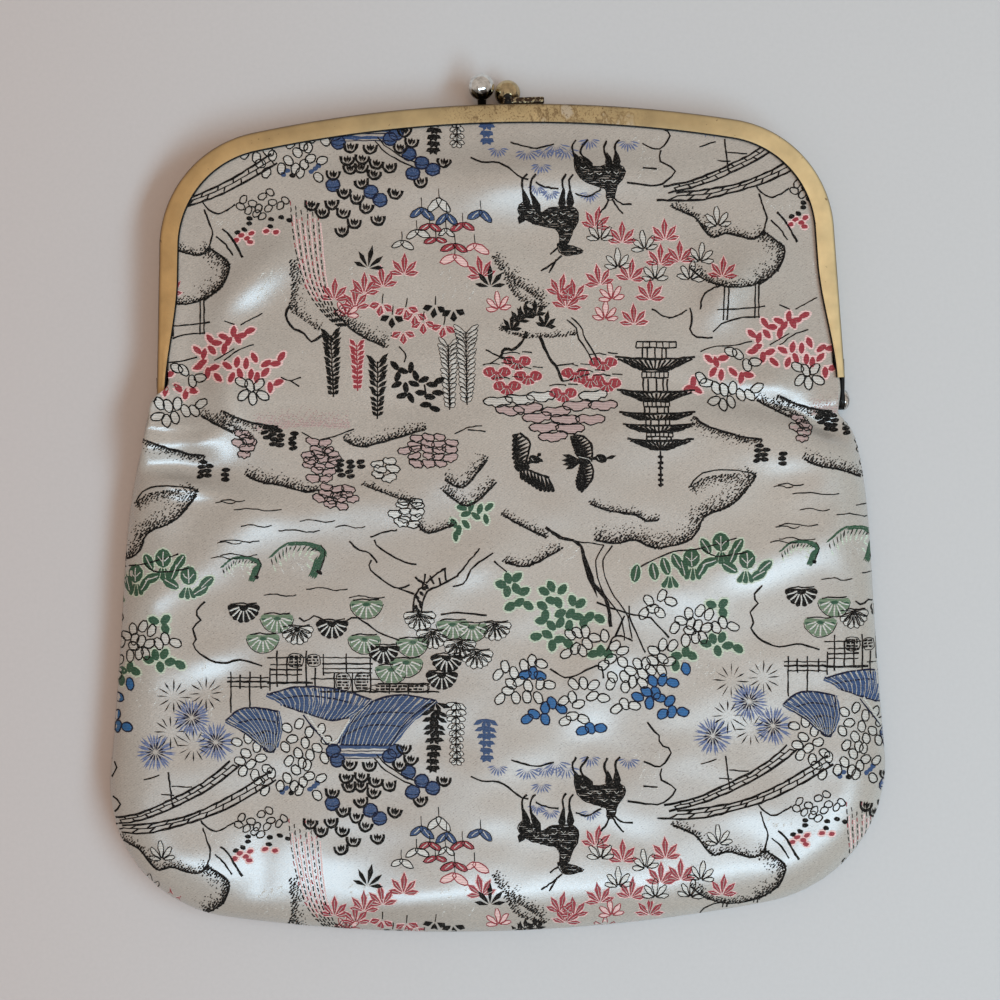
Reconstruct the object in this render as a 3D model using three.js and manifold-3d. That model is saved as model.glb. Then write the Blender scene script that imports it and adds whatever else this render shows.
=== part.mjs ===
// A clasp clutch bag: two brocade panels sewn together round the sides and bottom,
// their upper edges gripped in the two halves of a hinged metal frame with a kiss-lock clasp.
// Millimetres. The bag lies on its back panel: +Z is up, +Y runs towards the clasp, +X to the right.
import * as THREE from "three";
import { mergeVertices } from "three/addons/utils/BufferGeometryUtils.js";
import Module from "manifold-3d";

const wasm = await Module();
wasm.setup();

// Driving dimensions of the frame
const FRAME_WIDTH = 180; // outside, across the two hinges
const FRAME_TOP = 103.2; // outside of the top bar at its middle
const HINGE_Y = 23.8;
const LEG_END_Y = 29.5; // where the channel stops and the hinge ear goes on
const LEG_FLARE = Math.tan(THREE.MathUtils.degToRad(2.6));
const TOP_BOW_RADIUS = 347;
const FRAME_CORNER_RADIUS = 30.5;
const FRAME_DEPTH = 10; // both halves together, front to back
const HALF_GAP = 0.3; // between the two closed halves
const SHEET = 0.8; // metal thickness
const EDGE_ROUND = 1.3; // rounding of the outer front edge
const FLANGE_WIDTH = 5.2; // visible band of the frame
const FLANGE_END_WIDTH = 1.5; // the band narrows to this at the hinges
const FLANGE_TAPER_TOP_Y = 60;
const FRAME_MIDDLE_Z = FRAME_DEPTH / 2;
const HALF_DEPTH = (FRAME_DEPTH - HALF_GAP) / 2;

// Driving dimensions of the hinges
const EAR_RADIUS = 2.6;
const EAR_ARM_TOP_Y = 34.3;
const EAR_GAP = 0.3; // between the outer and inner ear
const RIVET_RADIUS = 0.9;
const RIVET_CLEARANCE = 0.3;
const RIVET_DOME = { radius: 2.7, height: 1.7 };
const RIVET_TAIL = { radius: 1.5, height: 0.6 };

// Driving dimensions of the kiss-lock clasp, places from the middle of the frame
const BALL_RADIUS = 3.4;
const POST_RADIUS = 1.15;
const CLASP_SEAT_GAP = 0.15;
const BACK_BALL = { x: -2.9, y: 108.4, z: 6.2, footZ: 2.5 }; // leans forward over the front half
const FRONT_BALL = { x: 3.9, y: 107.2, z: 3.6, footZ: 7.6 }; // leans back over the back half
const CLASP_BAR = { left: 2.6, right: 13.4, height: 1.6, depth: 2 };

// Driving dimensions of the soft pouch
const CLOTH = 1.3; // brocade with its lining
const POUCH_BOTTOM = -113.4;
const POUCH_HALF_WIDTH = 102.1;
const BOTTOM_BOW_RADIUS = 440;
const BOTTOM_CORNER_RADIUS = 37;
const POUCH_LEAN = 0.028; // sideways per millimetre below the hinges: the pouch lies a little askew
const POUCH_SHIFT = -1; // and as a whole a little to the left of the frame
const SEAM_Z = 4.2;
const SEAM_GAP = 0.3;
const FRONT_EDGE_ROUND = 13; // how far in from the seam the front panel is still rising
const BACK_EDGE_ROUND = 9;
const TUCK = 1.3; // from the frame's outside to the cloth's edge in the channel
const TUCK_END = 3.2; // the same at the end of the legs, where the cloth leaves the channel
const SLOT_CLEARANCE = 0.15;
const SLOT_FLAT = 4.5; // cloth that stays level under the band
const SLOT_RISE = 13; // then comes up to the level of the pouch over this distance
const HINGE_BLEND = { low: 16.7, high: 27.2 }; // sewn edge below, framed edge above

// Half width of the pouch from the hinge shoulder down to the bottom corner
const SIDE_SECTIONS = [
  { y: 22.4, half: 86 },
  { y: 20.3, half: 88.6 },
  { y: 17.7, half: 92 },
  { y: 13, half: 94.4 },
  { y: 4, half: 96.2 },
  { y: -10, half: 97.8 },
  { y: -44, half: 99.9 },
];

// Height of the front panel above the table along its middle
const FRONT_SECTIONS = [
  { y: 104, z: 9.05 },
  { y: 80, z: 9.2 },
  { y: 52, z: 9.7 },
  { y: 36, z: 10.8 },
  { y: 24, z: 12.3 },
  { y: 14, z: 11.3 },
  { y: 3, z: 12 },
  { y: -30, z: 11.8 },
  { y: -75, z: 11.2 },
  { y: -116, z: 10.2 },
];

// Soft folds of the front panel: a ridge, or a furrow where rise is negative
const FOLDS = [
  { x: -80, y: 21, turn: 12, length: 26, width: 5.5, rise: 1.5 },
  { x: -82, y: 13, turn: 14, length: 24, width: 3.2, rise: -2.2 },
  { x: -81, y: 5, turn: 6, length: 24, width: 6, rise: 0.9 },
  { x: -20, y: 17, turn: 3, length: 46, width: 6, rise: -0.7 },
  { x: 74, y: 23, turn: -9, length: 26, width: 5, rise: 1.2 },
  { x: 79, y: 15.5, turn: -14, length: 24, width: 4, rise: -1.7 },
  { x: 84, y: 6.5, turn: -8, length: 18, width: 5, rise: 0.8 },
  { x: -88, y: -27, turn: 4, length: 24, width: 7, rise: 0.8 },
  { x: 84, y: -22, turn: -6, length: 24, width: 7, rise: 0.7 },
  { x: -45, y: 48, turn: 42, length: 30, width: 9, rise: 0.8 },
  { x: 5, y: -103, turn: 3, length: 60, width: 6, rise: -0.9 },
];

// Grid of a panel: share of the way reached, and steps taken to get there
const ROW_BANDS = [
  { reach: 0.005, steps: 1 },
  { reach: 0.055, steps: 4 },
  { reach: 0.12, steps: 2 },
  { reach: 0.5, steps: 7 },
  { reach: 0.73, steps: 15 },
  { reach: 0.9, steps: 4 },
  { reach: 0.975, steps: 3 },
  { reach: 1, steps: 1 },
];
const COLUMN_BANDS = [
  { reach: 0.006, steps: 1 },
  { reach: 0.07, steps: 4 },
  { reach: 0.93, steps: 12 },
  { reach: 0.994, steps: 4 },
  { reach: 1, steps: 1 },
];

const TOP_STEPS = 9; // frame stations from a corner to the middle of the top bar
const CORNER_STEPS = 8;
const LEG_STEPS = 5;
const ROUND_SEGMENTS = 16;

const clothMaterial = new THREE.MeshStandardMaterial({ color: 0xc9c1b6, roughness: 0.42, metalness: 0.15 });
const giltMaterial = new THREE.MeshStandardMaterial({ color: 0xc3a463, roughness: 0.35, metalness: 0.9 });
const nickelMaterial = new THREE.MeshStandardMaterial({ color: 0xb9bab8, roughness: 0.15, metalness: 1 });
const wornGiltMaterial = new THREE.MeshStandardMaterial({ color: 0x9c8552, roughness: 0.25, metalness: 1 });

const { smoothstep, lerp, degToRad } = THREE.MathUtils;

// The circle that touches a side line and the inside of a large bow centred on the middle line.
// The side line goes through (x, y) and closes in by its slope for each millimetre of height.
// The end says which end of the line it is on: 1 is the top, -1 the bottom.
function cornerCircle({ x, y, slope, end, bowCentreY, bowRadius, radius }) {
  const along = new THREE.Vector2(-slope, 1).normalize();
  const inward = new THREE.Vector2(-along.y, along.x);
  const bow = new THREE.Vector2(0, bowCentreY);
  const start = new THREE.Vector2(x, y).addScaledVector(inward, radius).sub(bow);
  const reach = bowRadius - radius;
  const middle = -start.dot(along);
  const t = middle + end * Math.sqrt(middle ** 2 - start.lengthSq() + reach ** 2);
  const centre = start.addScaledVector(along, t).add(bow);
  const sideAngle = Math.atan2(-inward.y, -inward.x);
  const bowAngle = Math.atan2(centre.y - bow.y, centre.x - bow.x);
  const sideY = centre.y + radius * Math.sin(sideAngle);
  return { x: centre.x, y: centre.y, radius, sideAngle, bowAngle, sideY };
}

const topBow = { y: FRAME_TOP - TOP_BOW_RADIUS, radius: TOP_BOW_RADIUS };
const frameCorner = cornerCircle({
  x: FRAME_WIDTH / 2,
  y: HINGE_Y,
  slope: LEG_FLARE,
  end: 1,
  bowCentreY: topBow.y,
  bowRadius: topBow.radius,
  radius: FRAME_CORNER_RADIUS,
});
const bottomBow = { y: POUCH_BOTTOM + BOTTOM_BOW_RADIUS, radius: BOTTOM_BOW_RADIUS };
const pouchCorner = cornerCircle({
  x: POUCH_HALF_WIDTH,
  y: 0,
  slope: 0,
  end: -1,
  bowCentreY: bottomBow.y,
  bowRadius: bottomBow.radius,
  radius: BOTTOM_CORNER_RADIUS,
});

// Half width of the frame's outside on a leg at height y
const legX = (y) => FRAME_WIDTH / 2 - LEG_FLARE * (y - HINGE_Y);

// Stations along the frame's outside from the left leg's end over the top to the right leg's end,
// each with its place, its inward direction and the width of the band there
function frameStations() {
  const right = [];
  const add = (x, y, angle) => right.push({ x, y, inX: -Math.cos(angle), inY: -Math.sin(angle) });
  for (let i = 0; i < LEG_STEPS; i++) {
    const y = lerp(LEG_END_Y, frameCorner.sideY, i / LEG_STEPS);
    add(legX(y), y, frameCorner.sideAngle);
  }
  for (let i = 0; i < CORNER_STEPS; i++) {
    const angle = lerp(frameCorner.sideAngle, frameCorner.bowAngle, i / CORNER_STEPS);
    const x = frameCorner.x + frameCorner.radius * Math.cos(angle);
    const y = frameCorner.y + frameCorner.radius * Math.sin(angle);
    add(x, y, angle);
  }
  for (let i = 0; i < TOP_STEPS; i++) {
    const angle = lerp(frameCorner.bowAngle, Math.PI / 2, i / TOP_STEPS);
    add(topBow.radius * Math.cos(angle), topBow.y + topBow.radius * Math.sin(angle), angle);
  }
  const middle = { x: 0, y: FRAME_TOP, inX: 0, inY: -1 };
  const left = right.map((s) => ({ ...s, x: -s.x, inX: -s.inX }));
  const stations = [...left, middle, ...right.reverse()];
  for (const s of stations) {
    s.band = lerp(FLANGE_END_WIDTH, FLANGE_WIDTH, smoothstep(s.y, LEG_END_Y, FLANGE_TAPER_TOP_Y));
  }
  return stations;
}

// Section of the channel: distance in from the outside, and distance out from the closing face
function channelSection(band) {
  const slope = Math.SQRT1_2;
  const bevel = EDGE_ROUND * (1 - slope);
  return [
    [0, 0],
    [0, HALF_DEPTH - EDGE_ROUND],
    [bevel, HALF_DEPTH - bevel],
    [EDGE_ROUND, HALF_DEPTH],
    [band, HALF_DEPTH],
    [band, HALF_DEPTH - SHEET],
    [SHEET, HALF_DEPTH - SHEET],
    [SHEET, SHEET],
    [band, SHEET],
    [band, 0],
  ];
}

// A closed mesh from a list of rings with the same number of points, ended by flat caps of the given outline
function loft(rings, capOutline) {
  const count = rings[0].length;
  const index = [];
  for (let r = 0; r + 1 < rings.length; r++) {
    for (let i = 0; i < count; i++) {
      const j = (i + 1) % count;
      const [a, b, c, d] = [r * count + i, r * count + j, (r + 1) * count + j, (r + 1) * count + i];
      index.push(a, b, c, a, c, d);
    }
  }
  const last = (rings.length - 1) * count;
  const turned = THREE.ShapeUtils.isClockWise(capOutline);
  for (const triangle of THREE.ShapeUtils.triangulateShape(capOutline, [])) {
    const [a, b, c] = turned ? triangle.reverse() : triangle;
    index.push(a, c, b, last + a, last + b, last + c);
  }
  return meshGeometry(rings.flat(), index);
}

function meshGeometry(points, index) {
  const geometry = new THREE.BufferGeometry();
  geometry.setAttribute("position", new THREE.Float32BufferAttribute(points.flat(), 3));
  geometry.setIndex(index);
  return geometry;
}

function solidOf(geometry) {
  const bare = geometry.clone();
  bare.deleteAttribute("normal");
  bare.deleteAttribute("uv");
  const merged = mergeVertices(bare, 1e-4);
  const triVerts = new Uint32Array(merged.index.array);
  const vertProperties = merged.getAttribute("position").array;
  return new wasm.Manifold(new wasm.Mesh({ numProp: 3, vertProperties, triVerts }));
}

function geometryOf(solid) {
  const mesh = solid.getMesh();
  const points = [];
  for (let i = 0; i < mesh.numVert; i++) {
    points.push([...mesh.vertProperties.subarray(i * mesh.numProp, i * mesh.numProp + 3)]);
  }
  return meshGeometry(points, [...mesh.triVerts]);
}

// One half of the frame: facing 1 is the front half, -1 the back half
function frameHalf(facing) {
  const closingZ = FRAME_MIDDLE_Z + (facing * HALF_GAP) / 2;
  const rings = frameStations().map((s) => {
    const ring = channelSection(s.band).map(([depth, out]) => [
      s.x + s.inX * depth,
      s.y + s.inY * depth,
      closingZ + facing * out,
    ]);
    return facing > 0 ? ring : ring.reverse();
  });
  const section = channelSection(FLANGE_END_WIDTH).map(([a, b]) => new THREE.Vector2(a, b));
  let solid = solidOf(loft(rings, facing > 0 ? section : section.reverse()));
  for (const side of [-1, 1]) {
    solid = solid.add(solidOf(hingeEar(side, facing)));
  }
  return geometryOf(solid);
}

// A hinge ear: a flat arm from the end of a leg to a round eye about the hinge axis
function hingeEar(side, facing) {
  const outer = legX(LEG_END_Y) - (facing > 0 ? 0 : SHEET + EAR_GAP);
  const armLow = HALF_GAP / 2 + SHEET / 2;
  const armHigh = HALF_DEPTH - EDGE_ROUND;
  const arm = EAR_ARM_TOP_Y - HINGE_Y;
  const legEnd = LEG_END_Y - HINGE_Y;
  const outline = new THREE.Shape();
  outline.moveTo(arm, armLow);
  outline.lineTo(legEnd, armLow);
  outline.lineTo(EAR_RADIUS, 0);
  outline.absarc(0, 0, EAR_RADIUS, 0, -1.5 * Math.PI, true);
  outline.lineTo(legEnd, armHigh);
  outline.lineTo(arm, armHigh);
  outline.closePath();
  const eye = new THREE.Path();
  eye.absarc(0, 0, RIVET_RADIUS + RIVET_CLEARANCE, 0, 2 * Math.PI, false);
  outline.holes.push(eye);
  const plateShape = { depth: SHEET, bevelEnabled: false, curveSegments: ROUND_SEGMENTS };
  const plate = new THREE.ExtrudeGeometry(outline, plateShape);
  // the outline's first axis becomes Y, its second goes towards the half's own face, its depth runs along X
  const towards = new THREE.Matrix4().makeBasis(
    new THREE.Vector3(0, 1, 0),
    new THREE.Vector3(0, 0, facing),
    new THREE.Vector3(facing, 0, 0),
  );
  plate.applyMatrix4(towards);
  const inner = side > 0 ? outer - SHEET : -outer;
  const plateX = facing > 0 ? inner : inner + SHEET;
  return plate.translate(plateX, HINGE_Y, FRAME_MIDDLE_Z);
}

// A domed rivet through both ears, turned about the hinge axis, its dome on the outside
function hingeRivet(side) {
  const outerFace = legX(LEG_END_Y);
  const innerFace = outerFace - 2 * SHEET - EAR_GAP;
  const domeBase = outerFace + RIVET_CLEARANCE / 2;
  const tailBase = innerFace - RIVET_CLEARANCE / 2;
  const profile = [
    new THREE.Vector2(0, tailBase - RIVET_TAIL.height),
    new THREE.Vector2(RIVET_TAIL.radius, tailBase - RIVET_TAIL.height),
    new THREE.Vector2(RIVET_TAIL.radius, tailBase),
    new THREE.Vector2(RIVET_RADIUS, tailBase),
    new THREE.Vector2(RIVET_RADIUS, domeBase),
  ];
  const domeSteps = 4;
  for (let i = 0; i <= domeSteps; i++) {
    const angle = ((i / domeSteps) * Math.PI) / 2;
    const radius = i === domeSteps ? 0 : RIVET_DOME.radius * Math.cos(angle);
    profile.push(new THREE.Vector2(radius, domeBase + RIVET_DOME.height * Math.sin(angle)));
  }
  const rivet = new THREE.LatheGeometry(profile, ROUND_SEGMENTS);
  rivet.rotateZ(-side * (Math.PI / 2));
  return rivet.translate(0, HINGE_Y, FRAME_MIDDLE_Z);
}

// A clasp ball on a post that leans from its foot on one half of the frame over the other half
function claspBall(ball) {
  const footY = FRAME_TOP + CLASP_SEAT_GAP;
  const foot = new THREE.Vector3(ball.x, footY, ball.footZ);
  const knee = new THREE.Vector3(ball.x, footY + POST_RADIUS, ball.footZ);
  const centre = new THREE.Vector3(ball.x, ball.y, ball.z);
  const route = new THREE.CatmullRomCurve3([foot, knee, centre]);
  const round = new THREE.Shape().absarc(0, 0, POST_RADIUS, 0, 2 * Math.PI, false);
  const post = new THREE.ExtrudeGeometry(round, { steps: 6, extrudePath: route, curveSegments: 5 });
  const sphere = new THREE.SphereGeometry(BALL_RADIUS, ROUND_SEGMENTS, 12);
  sphere.translate(centre.x, centre.y, centre.z);
  return solidOf(post).add(solidOf(sphere));
}

// The front half's ball also has a flat bar along the top of the frame
function claspBallOnBar(ball) {
  const bar = new THREE.BoxGeometry(CLASP_BAR.right - CLASP_BAR.left, CLASP_BAR.height, CLASP_BAR.depth);
  const barY = FRAME_TOP + CLASP_SEAT_GAP + CLASP_BAR.height / 2;
  bar.translate((CLASP_BAR.left + CLASP_BAR.right) / 2, barY, ball.footZ);
  return claspBall(ball).add(solidOf(bar));
}

// Outline of a panel's right edge, from the middle of the bottom corner to that of the frame's corner
function sideEdge() {
  const path = new THREE.Path();
  const { x, y, radius, sideAngle, bowAngle } = pouchCorner;
  path.absarc(x, y, radius, (sideAngle + bowAngle) / 2, sideAngle, false);
  const side = SIDE_SECTIONS.map((row) => new THREE.Vector2(row.half, row.y)).reverse();
  path.splineThru([...side, new THREE.Vector2(legX(LEG_END_Y) - TUCK_END, LEG_END_Y)]);
  const corner = frameCorner;
  const inset = corner.radius - TUCK;
  path.absarc(corner.x, corner.y, inset, corner.sideAngle, (corner.sideAngle + corner.bowAngle) / 2, false);
  return path;
}

// Outline of a panel's upper or lower edge, from the middle of the left corner to that of the right
function crossEdge(corner, bow, tuck) {
  const upper = corner.bowAngle > 0;
  const middleAngle = (corner.sideAngle + corner.bowAngle) / 2;
  const path = new THREE.Path();
  const inset = corner.radius - tuck;
  const mirrored = (angle) => Math.PI - angle;
  path.absarc(-corner.x, corner.y, inset, mirrored(middleAngle), mirrored(corner.bowAngle), upper);
  path.absarc(0, bow.y, bow.radius - tuck, mirrored(corner.bowAngle), corner.bowAngle, upper);
  path.absarc(corner.x, corner.y, inset, corner.bowAngle, middleAngle, upper);
  return path;
}

// Shares of the way, from bands of steps
function shares(bands) {
  const found = [0];
  let from = 0;
  for (const { reach, steps } of bands) {
    for (let i = 1; i <= steps; i++) {
      found.push(lerp(from, reach, i / steps));
    }
    from = reach;
  }
  return found;
}

// Height in a table of sections, eased from row to row
function sectionHeight(table, y) {
  const next = table.findIndex((row) => row.y <= y);
  const above = table[Math.max(next - 1, 0)];
  const below = table[next < 0 ? table.length - 1 : next];
  return lerp(below.z, above.z, smoothstep(y, below.y, above.y));
}

function foldHeight(x, y) {
  let height = 0;
  for (const fold of FOLDS) {
    const turn = degToRad(fold.turn);
    const along = (x - fold.x) * Math.cos(turn) + (y - fold.y) * Math.sin(turn);
    const across = (y - fold.y) * Math.cos(turn) - (x - fold.x) * Math.sin(turn);
    height += fold.rise * Math.exp(-((along / fold.length) ** 2) - (across / fold.width) ** 2);
  }
  return height;
}

const gripped = (y) => smoothstep(y, HINGE_BLEND.low, HINGE_BLEND.high);
const lean = (y) => POUCH_LEAN * Math.min(0, y - HINGE_Y) + POUCH_SHIFT * (1 - gripped(y));

// Plan of a panel: a grid of points blended from its four edges, each with its distance from the nearest edge
function panelPlan() {
  const side = sideEdge();
  const top = crossEdge(frameCorner, topBow, TUCK);
  const bottom = crossEdge(pouchCorner, bottomBow, 0);
  const rows = shares(ROW_BANDS);
  const columns = shares(COLUMN_BANDS);
  const edge = [];
  const edgeSamples = 240;
  for (let i = 0; i <= edgeSamples; i++) {
    const s = side.getPointAt(i / edgeSamples);
    edge.push(s, new THREE.Vector2(-s.x, s.y));
    edge.push(top.getPointAt(i / edgeSamples), bottom.getPointAt(i / edgeSamples));
  }
  const [lowLeft, lowRight] = [bottom.getPointAt(0), bottom.getPointAt(1)];
  const [highLeft, highRight] = [top.getPointAt(0), top.getPointAt(1)];
  return rows.map((v) =>
    columns.map((u) => {
      const right = side.getPointAt(v);
      const low = bottom.getPointAt(u);
      const high = top.getPointAt(u);
      const x = lerp(low.x, high.x, v) + lerp(-right.x, right.x, u);
      const y = lerp(low.y, high.y, v) + right.y;
      const cornerX = lerp(lerp(lowLeft.x, lowRight.x, u), lerp(highLeft.x, highRight.x, u), v);
      const cornerY = lerp(lowLeft.y, highLeft.y, v);
      const place = new THREE.Vector2(x - cornerX, y - cornerY);
      const onEdge = u === 0 || u === 1 || v === 0 || v === 1;
      const inFromEdge = onEdge ? 0 : Math.min(...edge.map((e) => e.distanceTo(place)));
      return { x: place.x, y: place.y, inFromEdge };
    }),
  );
}

// Outer face of a panel: facing 1 is the front panel, -1 the back panel
function panelHeight(point, facing) {
  const framed = gripped(point.y);
  const slot = SHEET + SLOT_CLEARANCE;
  const edgeZ = lerp(SEAM_Z + (facing * SEAM_GAP) / 2, facing > 0 ? FRAME_DEPTH - slot : slot, framed);
  const round = facing > 0 ? FRONT_EDGE_ROUND : BACK_EDGE_ROUND;
  const left = Math.max(0, 1 - point.inFromEdge / round);
  const sewnRise = Math.sqrt(1 - left ** 2);
  const framedRise = smoothstep(point.inFromEdge, SLOT_FLAT, SLOT_FLAT + SLOT_RISE);
  const rise = lerp(sewnRise, framedRise, framed);
  const x = point.x + lean(point.y);
  const level = facing > 0 ? sectionHeight(FRONT_SECTIONS, point.y) + foldHeight(x, point.y) : 0;
  return lerp(edgeZ, level, rise);
}

// A panel of cloth: its outer face, the same face moved in by the cloth's thickness, and a rim between them
function panel(facing) {
  const plan = panelPlan();
  const rows = plan.length;
  const columns = plan[0].length;
  const outer = plan.flat().map((p) => [p.x + lean(p.y), p.y, panelHeight(p, facing)]);
  const at = (r, c) => r * columns + c;
  const faces = [];
  for (let r = 0; r + 1 < rows; r++) {
    for (let c = 0; c + 1 < columns; c++) {
      faces.push(at(r, c), at(r, c + 1), at(r + 1, c + 1), at(r, c), at(r + 1, c + 1), at(r + 1, c));
    }
  }
  const sheet = meshGeometry(outer, faces);
  sheet.computeVertexNormals();
  const normals = sheet.getAttribute("normal");
  const rim = [];
  for (let c = 0; c + 1 < columns; c++) rim.push(at(0, c));
  for (let r = 0; r + 1 < rows; r++) rim.push(at(r, columns - 1));
  for (let c = columns - 1; c > 0; c--) rim.push(at(rows - 1, c));
  for (let r = rows - 1; r > 0; r--) rim.push(at(r, 0));
  const inner = outer.map(([x, y, z], i) => {
    const n = new THREE.Vector3().fromBufferAttribute(normals, i).multiplyScalar(facing);
    return [x - n.x * CLOTH, y - n.y * CLOTH, z - n.z * CLOTH];
  });
  rim.forEach((i, k) => {
    const before = outer[rim[(k + rim.length - 1) % rim.length]];
    const after = outer[rim[(k + 1) % rim.length]];
    const outward = new THREE.Vector2(after[1] - before[1], before[0] - after[0]).normalize();
    const [x, y, z] = outer[i];
    const framed = gripped(y);
    const flat = 1 - framed;
    const n = new THREE.Vector3(outward.x * flat, outward.y * flat, facing * framed).normalize();
    inner[i] = [x - n.x * CLOTH, y - n.y * CLOTH, z - n.z * CLOTH];
  });
  const count = outer.length;
  const index = [];
  for (let f = 0; f < faces.length; f += 3) {
    const [a, b, c] = faces.slice(f, f + 3);
    index.push(a, b, c, count + a, count + c, count + b);
  }
  rim.forEach((a, k) => {
    const b = rim[(k + 1) % rim.length];
    index.push(a, count + a, count + b, a, count + b, b);
  });
  if (facing < 0) {
    for (let f = 0; f < index.length; f += 3) {
      [index[f + 1], index[f + 2]] = [index[f + 2], index[f + 1]];
    }
  }
  return meshGeometry([...outer, ...inner], index);
}

const bag = new THREE.Group();

function place(name, geometry, material) {
  const mesh = new THREE.Mesh(geometry, material);
  mesh.name = name;
  bag.add(mesh);
}

place("front_panel", panel(1), clothMaterial);
place("back_panel", panel(-1), clothMaterial);
place("front_frame", frameHalf(1), giltMaterial);
place("back_frame", frameHalf(-1), giltMaterial);
place("front_clasp_ball", geometryOf(claspBallOnBar(FRONT_BALL)), wornGiltMaterial);
place("back_clasp_ball", geometryOf(claspBall(BACK_BALL)), nickelMaterial);
place("left_hinge_rivet", hingeRivet(-1), nickelMaterial);
place("right_hinge_rivet", hingeRivet(1), nickelMaterial);

// The origin is under the middle of the bag, on the surface that it lies on
const box = new THREE.Box3().setFromObject(bag);
bag.position.set(-(box.min.x + box.max.x) / 2, -(box.min.y + box.max.y) / 2, -box.min.z);

export default bag;
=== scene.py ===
"""Looks of the clasp clutch bag: soft brocade cloth with its woven landscape, worn gilt frame, clasp and
hinges. Metres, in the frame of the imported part. The bag lies on its back, +Y towards the clasp, +Z up."""

import math
import random

import bmesh
import bpy
import numpy as np
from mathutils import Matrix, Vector
from mathutils.bvhtree import BVHTree
from mathutils.geometry import tessellate_polygon


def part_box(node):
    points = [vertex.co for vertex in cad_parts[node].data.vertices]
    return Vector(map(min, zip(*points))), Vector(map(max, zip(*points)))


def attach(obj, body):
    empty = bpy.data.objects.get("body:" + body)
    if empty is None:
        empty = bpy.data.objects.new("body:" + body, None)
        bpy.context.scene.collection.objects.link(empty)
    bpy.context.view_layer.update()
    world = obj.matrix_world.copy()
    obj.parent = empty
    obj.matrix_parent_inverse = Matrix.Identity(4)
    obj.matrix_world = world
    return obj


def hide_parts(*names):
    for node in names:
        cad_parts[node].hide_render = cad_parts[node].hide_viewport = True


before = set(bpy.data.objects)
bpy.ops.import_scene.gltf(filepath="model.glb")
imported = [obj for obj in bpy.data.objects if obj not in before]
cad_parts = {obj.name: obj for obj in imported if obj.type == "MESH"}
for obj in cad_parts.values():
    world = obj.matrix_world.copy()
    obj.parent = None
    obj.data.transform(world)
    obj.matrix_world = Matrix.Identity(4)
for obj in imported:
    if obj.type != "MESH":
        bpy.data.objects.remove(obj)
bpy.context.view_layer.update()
MM = 0.001

# Sizes of the frame's outside and the pouch's outline, in millimetres, as in the part
HINGE_Y = 23.8
LEG_END_Y = 29.5
FRAME_TOP = 103.2
FRAME_WIDTH = 180.0
FRAME_DEPTH = 10.0
LEG_FLARE = math.tan(math.radians(2.6))
TOP_BOW_RADIUS = 347.0
FRAME_CORNER_RADIUS = 30.5
POUCH_BOTTOM = -113.4
POUCH_HALF_WIDTH = 102.1
BOTTOM_BOW_RADIUS = 440.0
BOTTOM_CORNER_RADIUS = 37.0
POUCH_LEAN = 0.028
POUCH_SHIFT = -1.0
TUCK = 1.3
TUCK_END = 3.2
SHEET = 0.8
SLOT_CLEARANCE = 0.15
SLOT_FLAT = 4.5
SLOT_RISE = 13.0
SEAM_Z = 4.2
CLOTH = 0.8
BACK_LIFT = 0.15  # room under the back for its threads
FRONT_EDGE_ROUND = 13.0
BACK_EDGE_ROUND = 9.0
HINGE_BLEND = (16.7, 27.2)

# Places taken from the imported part: the frame's middle line, and where y counts from
frame_low, frame_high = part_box("front_frame")
MIDDLE_X = (frame_low.x + frame_high.x) / 2
BASE_Y = frame_high.y - FRAME_TOP * MM

# Half width of the pouch from the hinge shoulder down to the bottom corner
SIDE_SECTIONS = [  # y, half width
    (22.4, 86.0), (20.3, 88.6), (17.7, 92.0), (13.0, 94.4), (4.0, 96.2), (-10.0, 97.8), (-44.0, 99.9),
]
# Height of the front cloth along its middle
FRONT_SECTIONS = [  # y, z
    (104.0, 9.05), (80.0, 9.3), (52.0, 10.0), (36.0, 10.8), (27.0, 11.2),
    (16.0, 12.2), (6.0, 12.0), (-30.0, 11.9), (-60.0, 11.8), (-82.0, 11.9), (-104.0, 10.7), (-116.0, 10.2),
]
# Folds and swells of the front cloth: a ridge, or a furrow where the rise is negative
FOLDS = [  # x, y, turn in degrees, length, width, rise
    (-81, 27, 8, 18, 9, 3.4), (-84, 10.5, -8, 15, 5, -2.8), (-86, 6.5, -10, 11, 2.4, 3.0),
    (78, 29, -9, 13, 5, 0.8), (74, 21.4, -14, 24, 3.4, -2.2), (85, 16, -22, 7, 2.6, -3.5),
    (82, 8, -10, 18, 5, 0.8), (8, 84, 1, 38, 8.5, 3.0), (-65.5, 57.5, 42, 15, 5.5, 2.1),
    (59.5, 53, 50, 9, 5, 1.9), (-73.5, -9, 38, 14, 6, 1.2), (-45, 0.5, 7, 24, 6, 1.1),
    (-91, -22, 30, 9, 4, 0.9), (-78, -38.5, 17, 12, 5, 0.9), (-16, -22, 41, 16, 6, 0.8),
    (24, -42.5, 61, 16, 7, 0.8), (61, -18, 17, 30, 7, 1.4), (79.5, 0.5, 15, 10, 4.5, 0.9),
    (16, -99, 0, 34, 9, 1.1), (77, -75, 14, 18, 8, 0.1), (-66, -94, 80, 14, 4, -0.6),
    (66, 37, -8, 20, 8, -1.2), (-70, -92, 4, 24, 8, 0.6), (58, -98, -4, 22, 8, 0.6),
    (-24, -101, 0, 16, 9, 1.6),
]
RIPPLES = [  # wavelength, turn in degrees, height, shift: faint unevenness all over
    (19, 82, 0.10, 0.3), (26, 101, 0.13, 1.7), (14, 66, 0.06, 4.1), (33, 118, 0.15, 2.2),
    (23, 55, 0.08, 5.0), (11, 95, 0.04, 0.9),
]
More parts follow.
